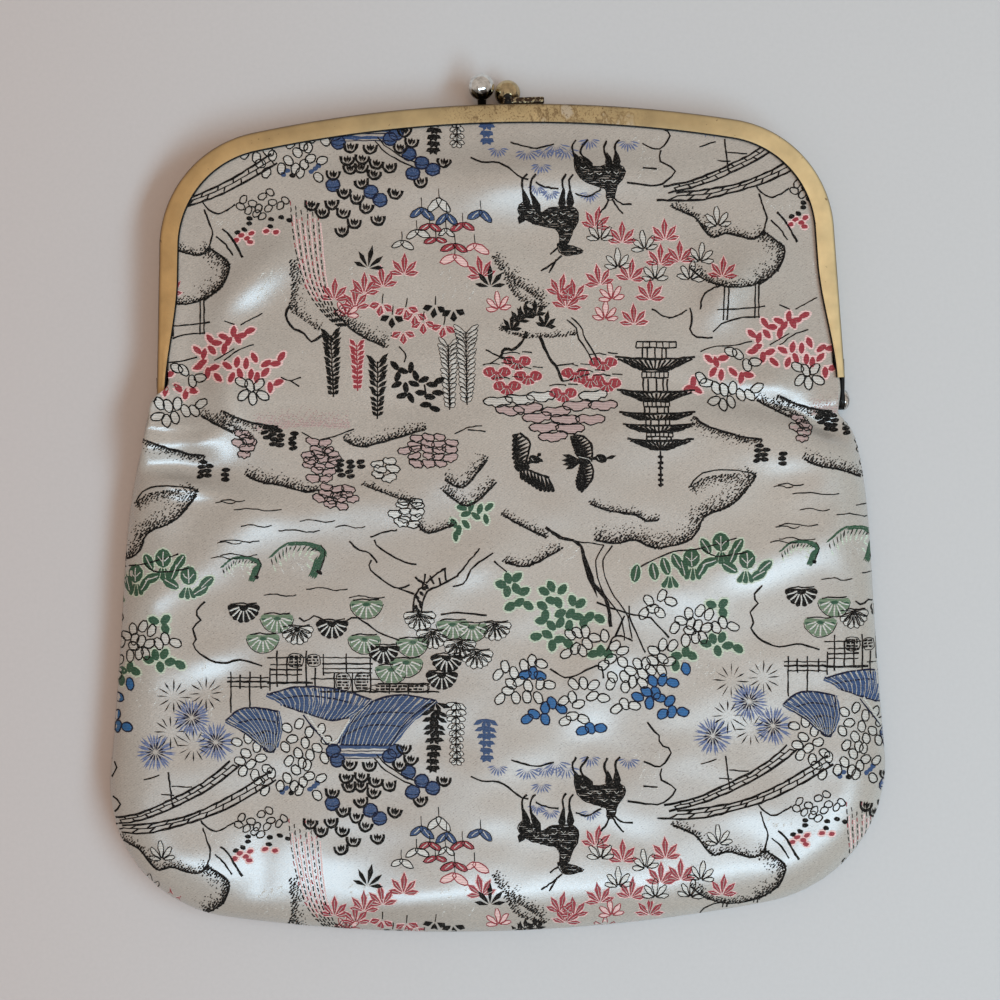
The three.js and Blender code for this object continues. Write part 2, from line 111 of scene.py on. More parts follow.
# The front cloth laps over the left hinge, and comes up to the right one
LEFT_LAP = [  # y, half width, height of the edge
    (7.0, None, 4.2), (12.0, 93.9, 7.6), (16.0, 92.6, 9.8), (19.0, 92.0, 10.9), (24.0, 91.3, 12.1),
    (27.0, 90.9, 12.5), (29.4, 89.6, 12.2), (31.5, None, 10.8), (33.5, None, 9.05),
]
RIGHT_LAP = [  # y, half width, height of the edge
    (17.7, None, 4.2), (20.3, 88.9, 6.8), (23.0, 88.4, 8.8), (26.0, 88.5, 9.0), (29.4, 88.3, 9.05),
    (33.0, None, 9.05),
]
LAP_REACH = 14.0
RIPPLE_STRETCH, RIPPLE_SHIFT = 2.3, 1.7  # a ripple's length and shift along its crest, to those across it
EDGE_CROWDING = 0.45  # how far the rows and columns of a cloth draw together at its edges
EDGE_SAMPLES = 420  # points on an edge that distances are measured to
BLOCK = 4000  # points measured at a time


def smooth(x, low, high):
    t = np.clip((np.asarray(x, float) - low) / (high - low), 0, 1)
    return t * t * (3 - 2 * t)


def corner_circle(x, y, slope, end, bow_y, bow_radius, radius):
    """Centre and end angles of the circle that touches a side line and the inside of a large bow."""
    upward = np.array([-slope, 1.0]) / math.hypot(slope, 1)
    inward = np.array([-upward[1], upward[0]])
    start = np.array([x, y]) + inward * radius - np.array([0, bow_y])
    middle = -start @ upward
    t = middle + end * math.sqrt(middle**2 - start @ start + (bow_radius - radius) ** 2)
    centre = start + upward * t + np.array([0, bow_y])
    return centre, math.atan2(-inward[1], -inward[0]), math.atan2(centre[1] - bow_y, centre[0])


def arc(centre, radius, start, stop, count=60):
    a = np.linspace(start, stop, count)
    return np.stack([centre[0] + radius * np.cos(a), centre[1] + radius * np.sin(a)], 1)


def spline(points, per_span=14):
    """Catmull-Rom curve through the points."""
    p = np.array(points, float)
    p = np.concatenate([p[:1], p, p[-1:]])
    found = []
    for i in range(1, len(p) - 2):
        t = np.linspace(0, 1, per_span, endpoint=False)[:, None]
        v0, v1 = (p[i + 1] - p[i - 1]) / 2, (p[i + 2] - p[i]) / 2
        cubic = 2 * p[i] - 2 * p[i + 1] + v0 + v1
        square = -3 * p[i] + 3 * p[i + 1] - 2 * v0 - v1
        found.append(cubic * t**3 + square * t**2 + v0 * t + p[i])
    return np.concatenate(found + [p[-1:]])


def along(line, shares):
    """Points at these shares of a polyline's length."""
    step = np.linalg.norm(np.diff(line, axis=0), axis=1)
    s = np.concatenate([[0], np.cumsum(step)])
    s /= s[-1]
    return np.stack([np.interp(shares, s, line[:, 0]), np.interp(shares, s, line[:, 1])], 1)


TOP_BOW_Y = FRAME_TOP - TOP_BOW_RADIUS
BOTTOM_BOW_Y = POUCH_BOTTOM + BOTTOM_BOW_RADIUS
frame_centre, frame_side, frame_bow = corner_circle(
    FRAME_WIDTH / 2, HINGE_Y, LEG_FLARE, 1, TOP_BOW_Y, TOP_BOW_RADIUS, FRAME_CORNER_RADIUS
)
pouch_centre, pouch_side, pouch_bow = corner_circle(
    POUCH_HALF_WIDTH, 0, 0, -1, BOTTOM_BOW_Y, BOTTOM_BOW_RADIUS, BOTTOM_CORNER_RADIUS
)


def leg_x(y):
    return FRAME_WIDTH / 2 - LEG_FLARE * (y - HINGE_Y)


def edge_lines():
    """The right, upper and lower edge of a panel."""
    low_arc = arc(pouch_centre, BOTTOM_CORNER_RADIUS, (pouch_side + pouch_bow) / 2, pouch_side)
    shoulder = [(half, y) for y, half in reversed(SIDE_SECTIONS)]
    side = [low_arc[-1], *shoulder, (leg_x(LEG_END_Y) - TUCK_END, LEG_END_Y)]
    high_arc = arc(frame_centre, FRAME_CORNER_RADIUS - TUCK, frame_side, (frame_side + frame_bow) / 2)
    right = np.concatenate([low_arc, spline(side)[1:], high_arc])

    def cross(centre, radius, side_angle, bow_angle, bow_y, bow_radius):
        half = np.concatenate([
            arc((0, bow_y), bow_radius, math.copysign(math.pi / 2, bow_angle), bow_angle),
            arc(centre, radius, bow_angle, (side_angle + bow_angle) / 2)[1:],
        ])
        return np.concatenate([half[::-1][:-1] * [-1, 1], half])

    inner, inner_bow = FRAME_CORNER_RADIUS - TUCK, TOP_BOW_RADIUS - TUCK
    high = cross(frame_centre, inner, frame_side, frame_bow, TOP_BOW_Y, inner_bow)
    low = cross(pouch_centre, BOTTOM_CORNER_RADIUS, pouch_side, pouch_bow, BOTTOM_BOW_Y, BOTTOM_BOW_RADIUS)
    return right, high, low


right_edge, high_edge, low_edge = edge_lines()
edge_shares = np.linspace(0, 1, EDGE_SAMPLES)
side_samples = along(right_edge, edge_shares)
whole_edge = np.concatenate([
    side_samples, side_samples * [-1, 1], along(high_edge, edge_shares), along(low_edge, edge_shares),
])


def from_edge(points):
    """Distance of plan points from the nearest edge."""
    found = np.empty(len(points))
    for i in range(0, len(points), BLOCK):
        part = points[i : i + BLOCK]
        found[i : i + BLOCK] = np.sqrt(((part[:, None] - whole_edge[None]) ** 2).sum(2).min(1))
    return found


def eased(count):
    """Shares from 0 to 1, closer together at both ends."""
    t = np.linspace(0, 1, count)
    return (1 - EDGE_CROWDING) * t + EDGE_CROWDING * (0.5 - 0.5 * np.cos(np.pi * t))


def plan(rows, columns):
    """A grid of plan points blended from the four edges."""
    u, v = eased(columns)[None, :, None], eased(rows)[:, None, None]
    side = along(right_edge, v.ravel())[:, None]
    low, high = along(low_edge, u.ravel())[None], along(high_edge, u.ravel())[None]
    low_line = low[:, :1] * (1 - u) + low[:, -1:] * u
    high_line = high[:, :1] * (1 - u) + high[:, -1:] * u
    sides = low * (1 - v) + high * v + side * [-1, 1] * (1 - u) + side * u
    return sides - low_line * (1 - v) - high_line * v


def turned_axes(x, y, degrees):
    c, s = math.cos(math.radians(degrees)), math.sin(math.radians(degrees))
    return x * c + y * s, y * c - x * s


def fold_rise(x, y):
    """How far the folds, swells and ripples lift the front cloth."""
    found = np.zeros_like(x)
    for fold_x, fold_y, turn, length, width, rise in FOLDS:
        a, b = turned_axes(x - fold_x, y - fold_y, turn)
        found += rise * np.exp(-((a / length) ** 2) - (b / width) ** 2)
    for length, turn, height, shift in RIPPLES:
        a, b = turned_axes(x, y, turn)
        crest = height * np.sin(a * math.tau / length + shift)
        found += crest * np.sin(b * math.tau / (RIPPLE_STRETCH * length) + RIPPLE_SHIFT * shift)
    return found


def section_height(y):
    """Height of the front cloth along its middle, without its folds."""
    ys = np.array([r[0] for r in FRONT_SECTIONS])[::-1]
    zs = np.array([r[1] for r in FRONT_SECTIONS])[::-1]
    i = np.clip(np.searchsorted(ys, y) - 1, 0, len(ys) - 2)
    t = np.clip((y - ys[i]) / (ys[i + 1] - ys[i]), 0, 1)
    return zs[i] + (zs[i + 1] - zs[i]) * t * t * (3 - 2 * t)


def cloth_points(rows, columns, facing):
    """Points of a panel's outer face, row by row: facing 1 is the front, -1 the back."""
    grid = plan(rows, columns)
    flat = grid.reshape(-1, 2)
    x, y = flat[:, 0].copy(), flat[:, 1].copy()
    inside = from_edge(flat).reshape(rows, columns)
    inside[0], inside[-1], inside[:, 0], inside[:, -1] = 0, 0, 0, 0
    inside = inside.ravel()
    framed = smooth(y, *HINGE_BLEND)
    slot = SHEET + SLOT_CLEARANCE
    edge_z = SEAM_Z * (1 - framed) + (FRAME_DEPTH - slot if facing > 0 else slot) * framed
    left = np.clip(1 - inside / (FRONT_EDGE_ROUND if facing > 0 else BACK_EDGE_ROUND), 0, 1)
    rise = np.sqrt(1 - left**2) * (1 - framed) + smooth(inside, SLOT_FLAT, SLOT_FLAT + SLOT_RISE) * framed
    x += POUCH_LEAN * np.minimum(0, y - HINGE_Y) + POUCH_SHIFT * (1 - framed)
    level = section_height(y) + fold_rise(x, y) if facing > 0 else np.zeros_like(x)
    z = edge_z + (level - edge_z) * rise
    if facing > 0:
        lapped(x, z, flat, edge_z, -1, LEFT_LAP)
        lapped(x, z, flat, edge_z, 1, RIGHT_LAP)
    else:
        z += BACK_LIFT
    return np.stack([MIDDLE_X + x * MM, BASE_Y + y * MM, z * MM], 1)


def lapped(x, z, flat, edge_z, side, table):
    """Draws the cloth's edge on one side out and up at the hinge, by changing x and z in place."""
    ys = np.array([row[0] for row in table])
    half = np.interp(flat[:, 1], right_edge[:, 1], right_edge[:, 0])
    own = np.interp(ys, right_edge[:, 1], right_edge[:, 0])
    out = np.interp(flat[:, 1], ys, [row[1] or edge for row, edge in zip(table, own)]) - half
    high = np.interp(flat[:, 1], ys, [row[2] for row in table])
    near = np.clip((side * flat[:, 0] - half + LAP_REACH) / LAP_REACH, 0, 1)
    near *= (flat[:, 1] > ys[0]) & (flat[:, 1] < ys[-1])
    x += side * out * near**2
    z += (high - edge_z) * near**2


def grid_faces(rows, columns, facing):
    r, c = np.meshgrid(np.arange(rows - 1), np.arange(columns - 1), indexing="ij")
    a = (r * columns + c).ravel()
    quads = np.stack([a, a + 1, a + columns + 1, a + columns], 1)
    return quads if facing > 0 else quads[:, ::-1]


def new_object(name, points, faces, material, smooth_shaded=True):
    mesh = bpy.data.meshes.new(name)
    mesh.from_pydata(np.asarray(points).tolist(), [], [list(f) for f in faces])
    mesh.materials.append(material)
    mesh.polygons.foreach_set("use_smooth", [smooth_shaded] * len(mesh.polygons))
    mesh.update()
    found = bpy.data.objects.new(name, mesh)
    bpy.context.scene.collection.objects.link(found)
    return found


# The view: straight down, the bag a little turned in it
PHOTO_SIDE = 1000  # pixels
CHART_UNIT = 0.26 * MM  # size of a photo pixel at the height of the frame's face
CAMERA_HEIGHT = 0.45
CAMERA_ROLL = math.radians(1.6)
VIEW_CENTRE = (MIDDLE_X - 1.04 * MM, BASE_Y)

# The weave: figures of coloured thread on one repeat of its chart, in chart units with y counted down
REPEATS = ((555, -16), (0, 617))  # from one repeat to the next, across and down
CHART_MIDDLE = 500  # the chart point at the middle of the view
CHART_FOLD = 930  # the bottom of the bag, where the chart goes on round the back
CHART_REACH = (100, 900, 90, 940)  # the part of the chart that the front covers
THREADS = {  # linear colour, then height of a figure's edge and of its middle over the cloth in millimetres
    "silver": ((0.51, 0.495, 0.455), 0.02, 0.05),
    "rose": ((0.62, 0.42, 0.40), 0.02, 0.05),
    "mint": ((0.42, 0.48, 0.38), 0.02, 0.05),
    "pink": ((0.37, 0.27, 0.255), 0.02, 0.05),
    "sage": ((0.115, 0.17, 0.105), 0.04, 0.08),
    "sky": ((0.095, 0.125, 0.235), 0.04, 0.08),
    "azure": ((0.013, 0.095, 0.25), 0.04, 0.08),
    "red": ((0.24, 0.021, 0.032), 0.05, 0.09),
    "blue": ((0.021, 0.050, 0.125), 0.05, 0.09),
    "green": ((0.017, 0.062, 0.030), 0.05, 0.09),
    "soot": ((0.005, 0.0045, 0.004), 0.06, 0.10),
    "navy": ((0.007, 0.010, 0.028), 0.07, 0.11),
    "black": ((0.004, 0.0035, 0.003), 0.07, 0.12),
    "glint": ((0.50, 0.49, 0.45), 0.11, 0.15),
}
STYLES = {  # the paler edge and the filling of a filled figure
    "red": ("rose", "red"), "green": ("mint", "green"), "blue": (None, "blue"), "black": (None, "black"),
    "sage": (None, "sage"),
}
OUTLINED = {  # the filling and the line of an outlined figure
    "white": ("silver", "black"), "pink": ("rose", "red"), "bare": (None, "black"),
    "blush": ("pink", "black"), "azure": ("azure", "navy"),
}
lenses = {thread: [] for thread in THREADS}  # outlines of small filled shapes
ropes = {thread: [] for thread in THREADS}  # middle line and width of strokes
chance = random.Random(11)


def turned(points, x, y, degrees):
    c, s = math.cos(math.radians(degrees)), math.sin(math.radians(degrees))
    return [(x + px * c - py * s, y + px * s + py * c) for px, py in points]


def middle_of(points):
    return sum(p[0] for p in points) / len(points), sum(p[1] for p in points) / len(points)


def direction(x0, y0, x1, y1):
    """Distance and turn from one point to another."""
    return math.hypot(x1 - x0, y1 - y0), math.degrees(math.atan2(y1 - y0, x1 - x0))


def headings(line):
    """Steps of length 1 along a line."""
    heading = np.gradient(line, axis=0)
    return heading / (np.linalg.norm(heading, axis=1)[:, None] + 1e-9)


def length_of(line):
    return np.linalg.norm(np.diff(line, axis=0), axis=1).sum()


def oval_points(length, width, point=0.0, count=10):
    """A lying oval; point draws its two ends out."""
    angles = [2 * math.pi * i / count for i in range(count)]
    return [(length / 2 * math.cos(a), width / 2 * math.sin(a) * abs(math.sin(a)) ** point) for a in angles]


def leaf_points(length, width):
    half = width / 2
    return [(0, 0), (0.3 * length, -0.62 * half), (0.62 * length, -half), (length, 0),
            (0.62 * length, half), (0.3 * length, 0.62 * half)]


def tear_points(length, width):
    half = width / 2
    lower = [(0, -0.2), (0.5, -0.75), (0.8, -1), (0.96, -0.6)]
    upper = [(x, -y) for x, y in reversed(lower)]
    return [(x * length, y * half) for x, y in lower + [(1, 0)] + upper]


def pad_points(length, width):
    """A lying pad with a scalloped lower side."""
    shares = [
        (-1, -0.35), (-0.55, -1), (0, -0.75), (0.55, -1), (1, -0.35), (0.78, 0.6), (0.45, 0.55), (0.25, 1),
        (-0.2, 1), (-0.4, 0.6), (-0.75, 0.65),
    ]
    return [(x * length / 2, y * width / 2) for x, y in shares]


def rope(thread, points, width=1.5):
    ropes[thread].append((points, width))


def ropes_of(thread, lines, width=1.5):
    for points in lines:
        rope(thread, points, width)


def shape(style, points, outline=1.4, edge=1.6):
    """A small figure in its style: filled with a paler edge round it, or pale with a dark outline."""
    if style in OUTLINED:
        filling, line = OUTLINED[style]
        if filling:
            lenses[filling].append(points)
        rope(line, points + points[:1], outline)
        return
    pale, full = STYLES[style]
    if pale:
        cx, cy = middle_of(points)
        grown = []
        for px, py in points:
            far = math.hypot(px - cx, py - cy) or 1
            grown.append((px + (px - cx) / far * edge, py + (py - cy) / far * edge))
        lenses[pale].append(grown)
    lenses[full].append(points)


def petals(style, places, length, width, turn=0, spread=25, point=0.0):
    for x, y in places:
        shape(style, turned(oval_points(length, width, point), x, y, turn + chance.uniform(-spread, spread)))


def clustered(style, places, length, width, near=19, point=0.0):
    """Petals or leaves that spread out from the middles of the groups that they stand in."""
    for x, y in places:
        cx, cy = middle_of([p for p in places if math.hypot(p[0] - x, p[1] - y) < near])
        away = math.degrees(math.atan2(y - cy, x - cx)) if math.hypot(x - cx, y - cy) > 1 else 80
        away += chance.uniform(-15, 15)
        shape(style, turned(oval_points(length, width, point), x, y, away), 1.45, 2.0)


def sprig(style, places, length, width, angles, gap=0.0, vein=None):
    """Leaves that fan out from each place."""
    for x, y in places:
        lean = chance.uniform(-12, 12)
        for angle, share in angles:
            turn = angle + lean
            foot = turned([(gap, 0)], x, y, turn)[0]
            leaf = leaf_points(length * share, width * (0.6 + 0.4 * share))
            shape(style, turned(leaf, *foot, turn), 1.0, 1.1)
            if vein:
                rope(vein, turned([(0.2 * length * share, 0), (0.78 * length * share, 0)], *foot, turn), 0.55)


# Leaves of a sprig: degrees, share of the length
MAPLE = [(-168, 0.75), (-130, 0.95), (-90, 1.15), (-50, 0.95), (-12, 0.75)]
DROOP = [(158, 1.0), (95, 1.05), (32, 1.0)]
# A cup flower: its bowl, and the foot and the tip of each blade in it
BOWL = [(-6.4, -4.2), (-6.2, 0), (-3.6, 3.6), (0, 4.9), (3.6, 3.6), (6.2, 0), (6.4, -4.2)]
BLADES = [((-1.2, 2.6), (-3.3, -4.4)), ((0, 2.4), (0.2, -5.2)), ((1.2, 2.6), (3.5, -4.2))]


def cups(places):
    """Small flowers like open hands."""
    for x, y in places:
        lean = chance.uniform(-14, 14)
        rope("black", turned(BOWL, x, y, lean), 2.9)
        for blade in BLADES:
            foot, tip = turned(blade, x, y, lean)
            strokes("black", [(*foot, *tip)], 2.9)


def plums(places):
    for x, y in places:
        outline = turned(oval_points(14.5, 13.5), x, y, 0)
        shape("blue", outline)
        rope("navy", outline + outline[:1], 1.7)
        for a in (-150, -120, -90, -60, -30):
            rope("sky", turned([(1.5, 0), (3.5, 0.4), (5.6, 0)], x, y + 1.5, a + chance.uniform(-8, 8)), 1.1)
        rope("navy", [(x - 6, y + 1.5), (x, y + 3), (x + 6, y + 1.5)], 1.0)
        for a in (40, 90, 140):
            rope("sky", turned([(3.4, 0), (5.2, 0)], x, y, a), 1.0)


def leaf_pairs(style, rows):
    """Two leaves that hang from one point, on a thin stem."""
    for ax, ay, lx, ly, rx, ry in rows:
        for ex, ey in ((lx, ly), (rx, ry)):
            reach, turn = direction(ax, ay, ex, ey)
            bend = 14 if ex > ax else -14
            oval = oval_points(reach * 1.12, reach * 0.46, 0.2)
            leaf = turned(oval, (ax + ex) / 2, (ay + ey) / 2, turn - bend)
            shape(style, leaf, 1.2, 0.7)
            if style not in OUTLINED:
                rope("black", leaf + leaf[:1], 0.9)
                vein = [((ax * 3 + ex) / 4, (ay * 3 + ey) / 4), ((ax + ex * 3) / 4, (ay + ey * 3) / 4)]
                rope("glint", vein, 0.9)
        rope("black", [(ax, ay), (ax - 0.5, ay - 9)], 0.9)


def hatch(points, depth, side=1, fade=1.0, thread="soot"):
    """Twill dots beside a line, smaller and then gone away from it."""
    line = np.array(points, float)
    line = along(spline(line, 8), np.linspace(0, 1, max(4, int(length_of(line) / 1.5))))
    heading = headings(line)
    across, down = 2.9, 1.35
    low, high = line.min(0) - depth, line.max(0) + depth
    first, last = math.floor(low[0] / across), math.ceil(high[0] / across)
    for row in range(math.floor(low[1] / down), math.ceil(high[1] / down)):
        xs = np.arange(first, last) * across - (row % 3) * across / 3
        spots = np.stack([xs, np.full_like(xs, row * down)], 1)
        apart = spots[:, None] - line[None]
        near = (apart**2).sum(2).argmin(1)
        gap, h = apart[np.arange(len(xs)), near], heading[near]
        away = (gap[:, 1] * h[:, 0] - gap[:, 0] * h[:, 1]) * side
        beyond = np.abs(gap[:, 0] * h[:, 0] + gap[:, 1] * h[:, 1])
        for spot, a, over in zip(spots, away, beyond):
            dark = 1 - fade * a / depth
            if a < -0.5 or over > 2 or dark < 0 or dark**1.4 < chance.uniform(0.02, 0.75):
                continue
            size = 0.38 + 0.8 * dark * chance.uniform(0.8, 1.2)
            spot = spot + [chance.uniform(-0.9, 0.9), chance.uniform(-0.5, 0.5)]
            stroke = [(-1.45 * size, 0), (0, -0.85 * size), (1.45 * size, 0), (0, 0.85 * size)]
            lenses[thread].append(turned(stroke, *spot, -32))


def hill(points, depth=12, side=1, thick=2.3, fade=1.0):
    """A dark line with hatching on one side of it."""
    rope("black", points, thick)
    hatch(points, depth * 1.25, side, fade)


def tinsel(x0, y0, x1, y1, count, turn=-60):
    """Bright metal threads scattered over a patch."""
    for _ in range(count):
        x, y = chance.uniform(x0, x1), chance.uniform(y0, y1)
        length = chance.uniform(4, 9)
        stroke = [(-length / 2, 0), (0, -0.6), (length / 2, 0), (0, 0.6)]
        lenses["silver"].append(turned(stroke, x, y, turn + chance.uniform(-35, 35)))


def feather(style, x0, y0, x1, y1, half):
    """A hanging fir twig: needles on both sides of its stem."""
    length = math.hypot(x1 - x0, y1 - y0)
    count = int(length / 4.4)
    rope("black" if style == "white" else style, [(x0, y0), (x1, y1)], 1.5)
    for i in range(count):
        t = (i + 0.5) / count
        x, y = x0 + (x1 - x0) * t, y0 + (y1 - y0) * t
        reach = half * (1.12 - 0.6 * t)
        for sign in (-1, 1):
            shape(style, turned(leaf_points(reach, 4.2), x, y, -90 + sign * chance.uniform(42, 56)), 0.8, 0.9)


def red_tufts(places):
    """Two pads over a fan of tears, under a broken twig."""
    for x, y in places:
        for sign in (-1, 1):
            shape("red", turned(oval_points(12.5, 9.5), x + sign * 7.8, y - 2, sign * 14), 1.0, 1.1)
            ropes_of("glint", [[(x + sign * d, y + 0.5), (x + sign * (d + 1.5), y - 4)] for d in (4, 9)], 0.6)
        for a in (28, 58, 90, 122, 152):
            shape("red", turned(tear_points(9.5, 5.4), x, y - 2, a), 1.0, 1.0)
        ropes_of("glint", [turned([(3, 0), (9, 0)], x, y - 2, a) for a in (43, 74, 106, 137)], 0.7)
        rope("black", [(x - 14, y - 9), (x - 5, y - 10.5), (x + 3, y - 9)], 1.3)
        rope("black", [(x + 5, y - 11), (x + 15, y - 10)], 1.3)


FAN_RIBS = (8, 31, 54, 77, 103, 126, 149, 172)  # degrees
FAN_LENGTH, FAN_DEPTH = 33, 17


def fan_reach(degrees):
    """Length of a fan's rib, so that the ribs end on half an oval."""
    a = math.radians(degrees)
    return 1 / math.hypot(math.cos(a) / (FAN_LENGTH / 2), math.sin(a) / FAN_DEPTH)


def fans(style, places):
    """Pine tufts: ribs that spread from a twig into a scalloped fan."""
    ray, ray_width = ("black", 0.8) if style == "white" else ("glint", 1.5)
    reach = [fan_reach(a) for a in FAN_RIBS]
    for x, y in places:
        top = y - FAN_DEPTH / 2
        for a, r in zip(FAN_RIBS, reach):
            shape(style, turned(tear_points(r, 7.2 if r > 12 else 6), x, top, a), 1.0, 0.9)
        for k in range(len(FAN_RIBS) - 1):
            a, r = (FAN_RIBS[k] + FAN_RIBS[k + 1]) / 2, (reach[k] + reach[k + 1]) / 2
            rope(ray, turned([(0.3 * r, 0), (0.88 * r, 0)], x, top, a), ray_width)
        if style == "sage":
            rope("soot", [turned([(1.02 * r, 0)], x, top, a)[0] for a, r in zip(FAN_RIBS, reach)], 0.9)
            ends = [(x - FAN_LENGTH * 0.33, top + 3.2), (x + FAN_LENGTH * 0.33, top + 3.2)]
            petals("green", ends, 9, 4, 12, 6)
            lenses["green"].append(turned(oval_points(8, 4), x, top + 2.5, 0))
        rope("black", [(x - 13, top - 1.5), (x - 4, top - 3), (x + 4, top - 2), (x + 13, top - 3)], 1.5)


def spider_flower(x, y, radius, count, thread, inner=0.25, width=1.7):
    """A spider flower: narrow petals all round."""
    for i in range(count):
        a = 360 * i / count + chance.uniform(-4, 4)
        foot = turned([(radius * inner, 0)], x, y, a)[0]
        reach = radius * chance.uniform(0.62, 0.8)
        lenses[thread].append(turned(leaf_points(reach, width), *foot, a))


def grass(x, y, radius, thread="sky", count=9):
    """A small fan of blades."""
    for i in range(count):
        a = 90 + (i - (count - 1) / 2) * 170 / count
        foot = turned([(radius * 0.25, 0)], x, y - radius * 0.5, a)[0]
        lenses[thread].append(turned(leaf_points(radius * chance.uniform(0.75, 1.05), 1.7), *foot, a))


def fill(thread, outline, row=2.0, gap=0.1, brick=14, edge=1.2):
    """An area filled with floats of thread in rows, with a line round it."""
    rope(thread, list(outline) + [outline[0]], edge)
    outline = np.array(outline, float)
    following = np.roll(outline, -1, axis=0)
    y = outline[:, 1].min() + row / 2
    while y < outline[:, 1].max():
        crossing = (outline[:, 1] <= y) != (following[:, 1] <= y)
        a, b = outline[crossing], following[crossing]
        xs = np.sort(a[:, 0] + (y - a[:, 1]) / (b[:, 1] - a[:, 1]) * (b[:, 0] - a[:, 0]))
        for x0, x1 in zip(xs[::2], xs[1::2]):
            x = x0
            while x < x1 - 0.6:
                end = min(x1, x + brick * chance.uniform(0.8, 1.25))
                rope(thread, [(x, y), (end - gap, y)], row + 0.2 - gap)
                x = end
        y += row


def ribbed(thread, ridge, eave, count, width, bow=0.0):
    """A tiled roof: ribs from its ridge to its eave."""
    top = along(np.array(ridge, float), np.linspace(0, 1, count))
    low = along(np.array(eave, float), np.linspace(0, 1, count))
    for a, b in zip(top, low):
        middle = (a + b) / 2 + np.array([bow, 0])
        rope(thread, [tuple(a), tuple(middle), tuple(b)], width)


def dash_stacks(rows, length=9, width=4.8, step=4.8):
    """Stacks of black dashes: x, first y, last y."""
    for x, y0, y1 in rows:
        y = y0
        while y <= y1:
            petals("black", [(x + chance.uniform(-1.5, 1.5), y)], length, width, -8, 10)
            y += step


def heap(style, x0, y0, x1, y1, length=14, width=8):
    """A heap of lying pads."""
    rows = max(1, round((y1 - y0) / (0.72 * width)))
    for r in range(rows):
        y = y0 + (y1 - y0) * (r + 0.5) / rows
        inset = abs(r - (rows - 1) / 2) / rows * 0.5 * (x1 - x0)
        x = x0 + length / 2 + inset + (r % 2) * 0.45 * length
        while x < x1 - 0.2 * length - inset * 0.6:
            size = chance.uniform(0.85, 1.15)
            place = (x + chance.uniform(-2, 2), y + chance.uniform(-1.8, 1.8))
            pad = turned(pad_points(length * size, width * size), *place, chance.uniform(-18, 18))
            shape(style, pad, 1.3)
            x += 0.84 * length


def strokes(style, rows, width):
    """Pointed feathers or blades, each from its foot to its tip."""
    for x0, y0, x1, y1 in rows:
        reach, turn = direction(x0, y0, x1, y1)
        shape(style, turned(leaf_points(reach, width), x0, y0, turn))


def bridge():
    """Two hanging walks of planks, and the mast between them."""
    upper = (
        [(663, 187), (694, 180), (724, 167), (750, 154), (770, 141), (786, 127)],
        [(668, 193), (700, 185), (732, 172), (758, 159), (779, 145), (796, 131)],
    )
    lower = (
        [(676, 193), (715, 188), (745, 181), (775, 168), (800, 154), (826, 137)],
        [(657, 200), (697, 200), (733, 192), (765, 182), (797, 167), (832, 146)],
    )
    for low, high in (upper, lower):
        ropes_of("black", [low, high], 2.2)
        ends = [along(np.array(line, float), np.linspace(0.06, 0.98, 19)) for line in (low, high)]
        middle = [tuple(p) for p in (ends[0] + ends[1]) / 2]
        rope("black", middle, 1.3)
        for k, (a, b) in enumerate(zip(*ends)):
            half = (a + b) / 2
            rope("black", [tuple(a), tuple(half)] if k % 2 else [tuple(half), tuple(b)], 1.6)
    rope("black", [(725, 138), (727, 156), (729, 172)], 1.7)
    ropes_of("black", [[(718, 160), (731, 161)], [(728, 152), (748, 153)], [(700, 146), (716, 141)]], 1.4)


def deer():
    """Two deer seen head down, their feet above."""
    fill("black", [
        (519, 206), (526, 202), (533, 207), (541, 213), (550, 208), (562, 207), (572, 207), (578, 212),
        (578, 221), (573, 231), (568, 243), (559, 247), (560, 236), (556, 229), (544, 226), (532, 223),
        (523, 218), (518, 212),
    ])
    fill("black", [(557, 244), (568, 245), (584, 251), (577, 254), (563, 255)], 1.8)
    fill("black", [
        (574, 160), (580, 157), (588, 166), (597, 168), (610, 165), (620, 166), (625, 171), (623, 179),
        (617, 186), (614, 198), (606, 200), (606, 190), (594, 186), (582, 181), (576, 173),
    ])
    legs = [
        [(527, 176), (522, 182), (523, 193), (529, 205)], [(536, 176), (531, 182), (531, 195), (540, 213)],
        [(566, 175), (562, 182), (564, 195), (562, 208)], [(573, 176), (569, 182), (570, 195), (571, 208)],
        [(576, 139), (572, 148), (577, 162)], [(588, 139), (580, 151), (585, 160), (592, 169)],
        [(607, 140), (604, 149), (609, 165)], [(620, 139), (615, 146), (617, 166)],
    ]
    ropes_of("black", legs, 2.3)
    strokes("black", [
        (522, 188, 529, 212), (530, 192, 541, 216), (525, 212, 519, 224), (562, 190, 562, 212),
        (570, 188, 570, 212), (574, 152, 580, 168), (583, 156, 593, 172), (607, 152, 610, 170),
        (616, 150, 617, 170),
    ], 8)
    ropes_of("black", [
        [(562, 255), (553, 263), (541, 271)], [(557, 259), (549, 273)], [(558, 248), (550, 254)],
        [(609, 199), (606, 206), (600, 213)], [(612, 199), (618, 208), (623, 214)],
        [(613, 197), (622, 204), (632, 204)],
    ], 1.9)
    for x, y in (
        (530, 212), (536, 217), (545, 216), (554, 214), (563, 213), (570, 215), (550, 221), (561, 221),
        (567, 229), (563, 238), (583, 168), (590, 174), (599, 174), (608, 172), (616, 173), (604, 181),
        (613, 181),
    ):
        rope("glint", [(x - 2.6, y), (x, y + 1.8), (x + 2.6, y)], 0.7)


def wing(lead, trail, count=9, width=4.6):
    """Feathers side by side, from the front edge of a wing to its tips."""
    shares = np.linspace(0.02, 0.98, count)
    for a, b in zip(along(np.array(lead, float), shares), along(np.array(trail, float), shares)):
        reach, turn = math.dist(a, b), math.degrees(math.atan2(*(b - a)[::-1]))
        lenses["black"].append(turned(tear_points(reach, width), *a, turn))
    rope("black", lead, 2.4)


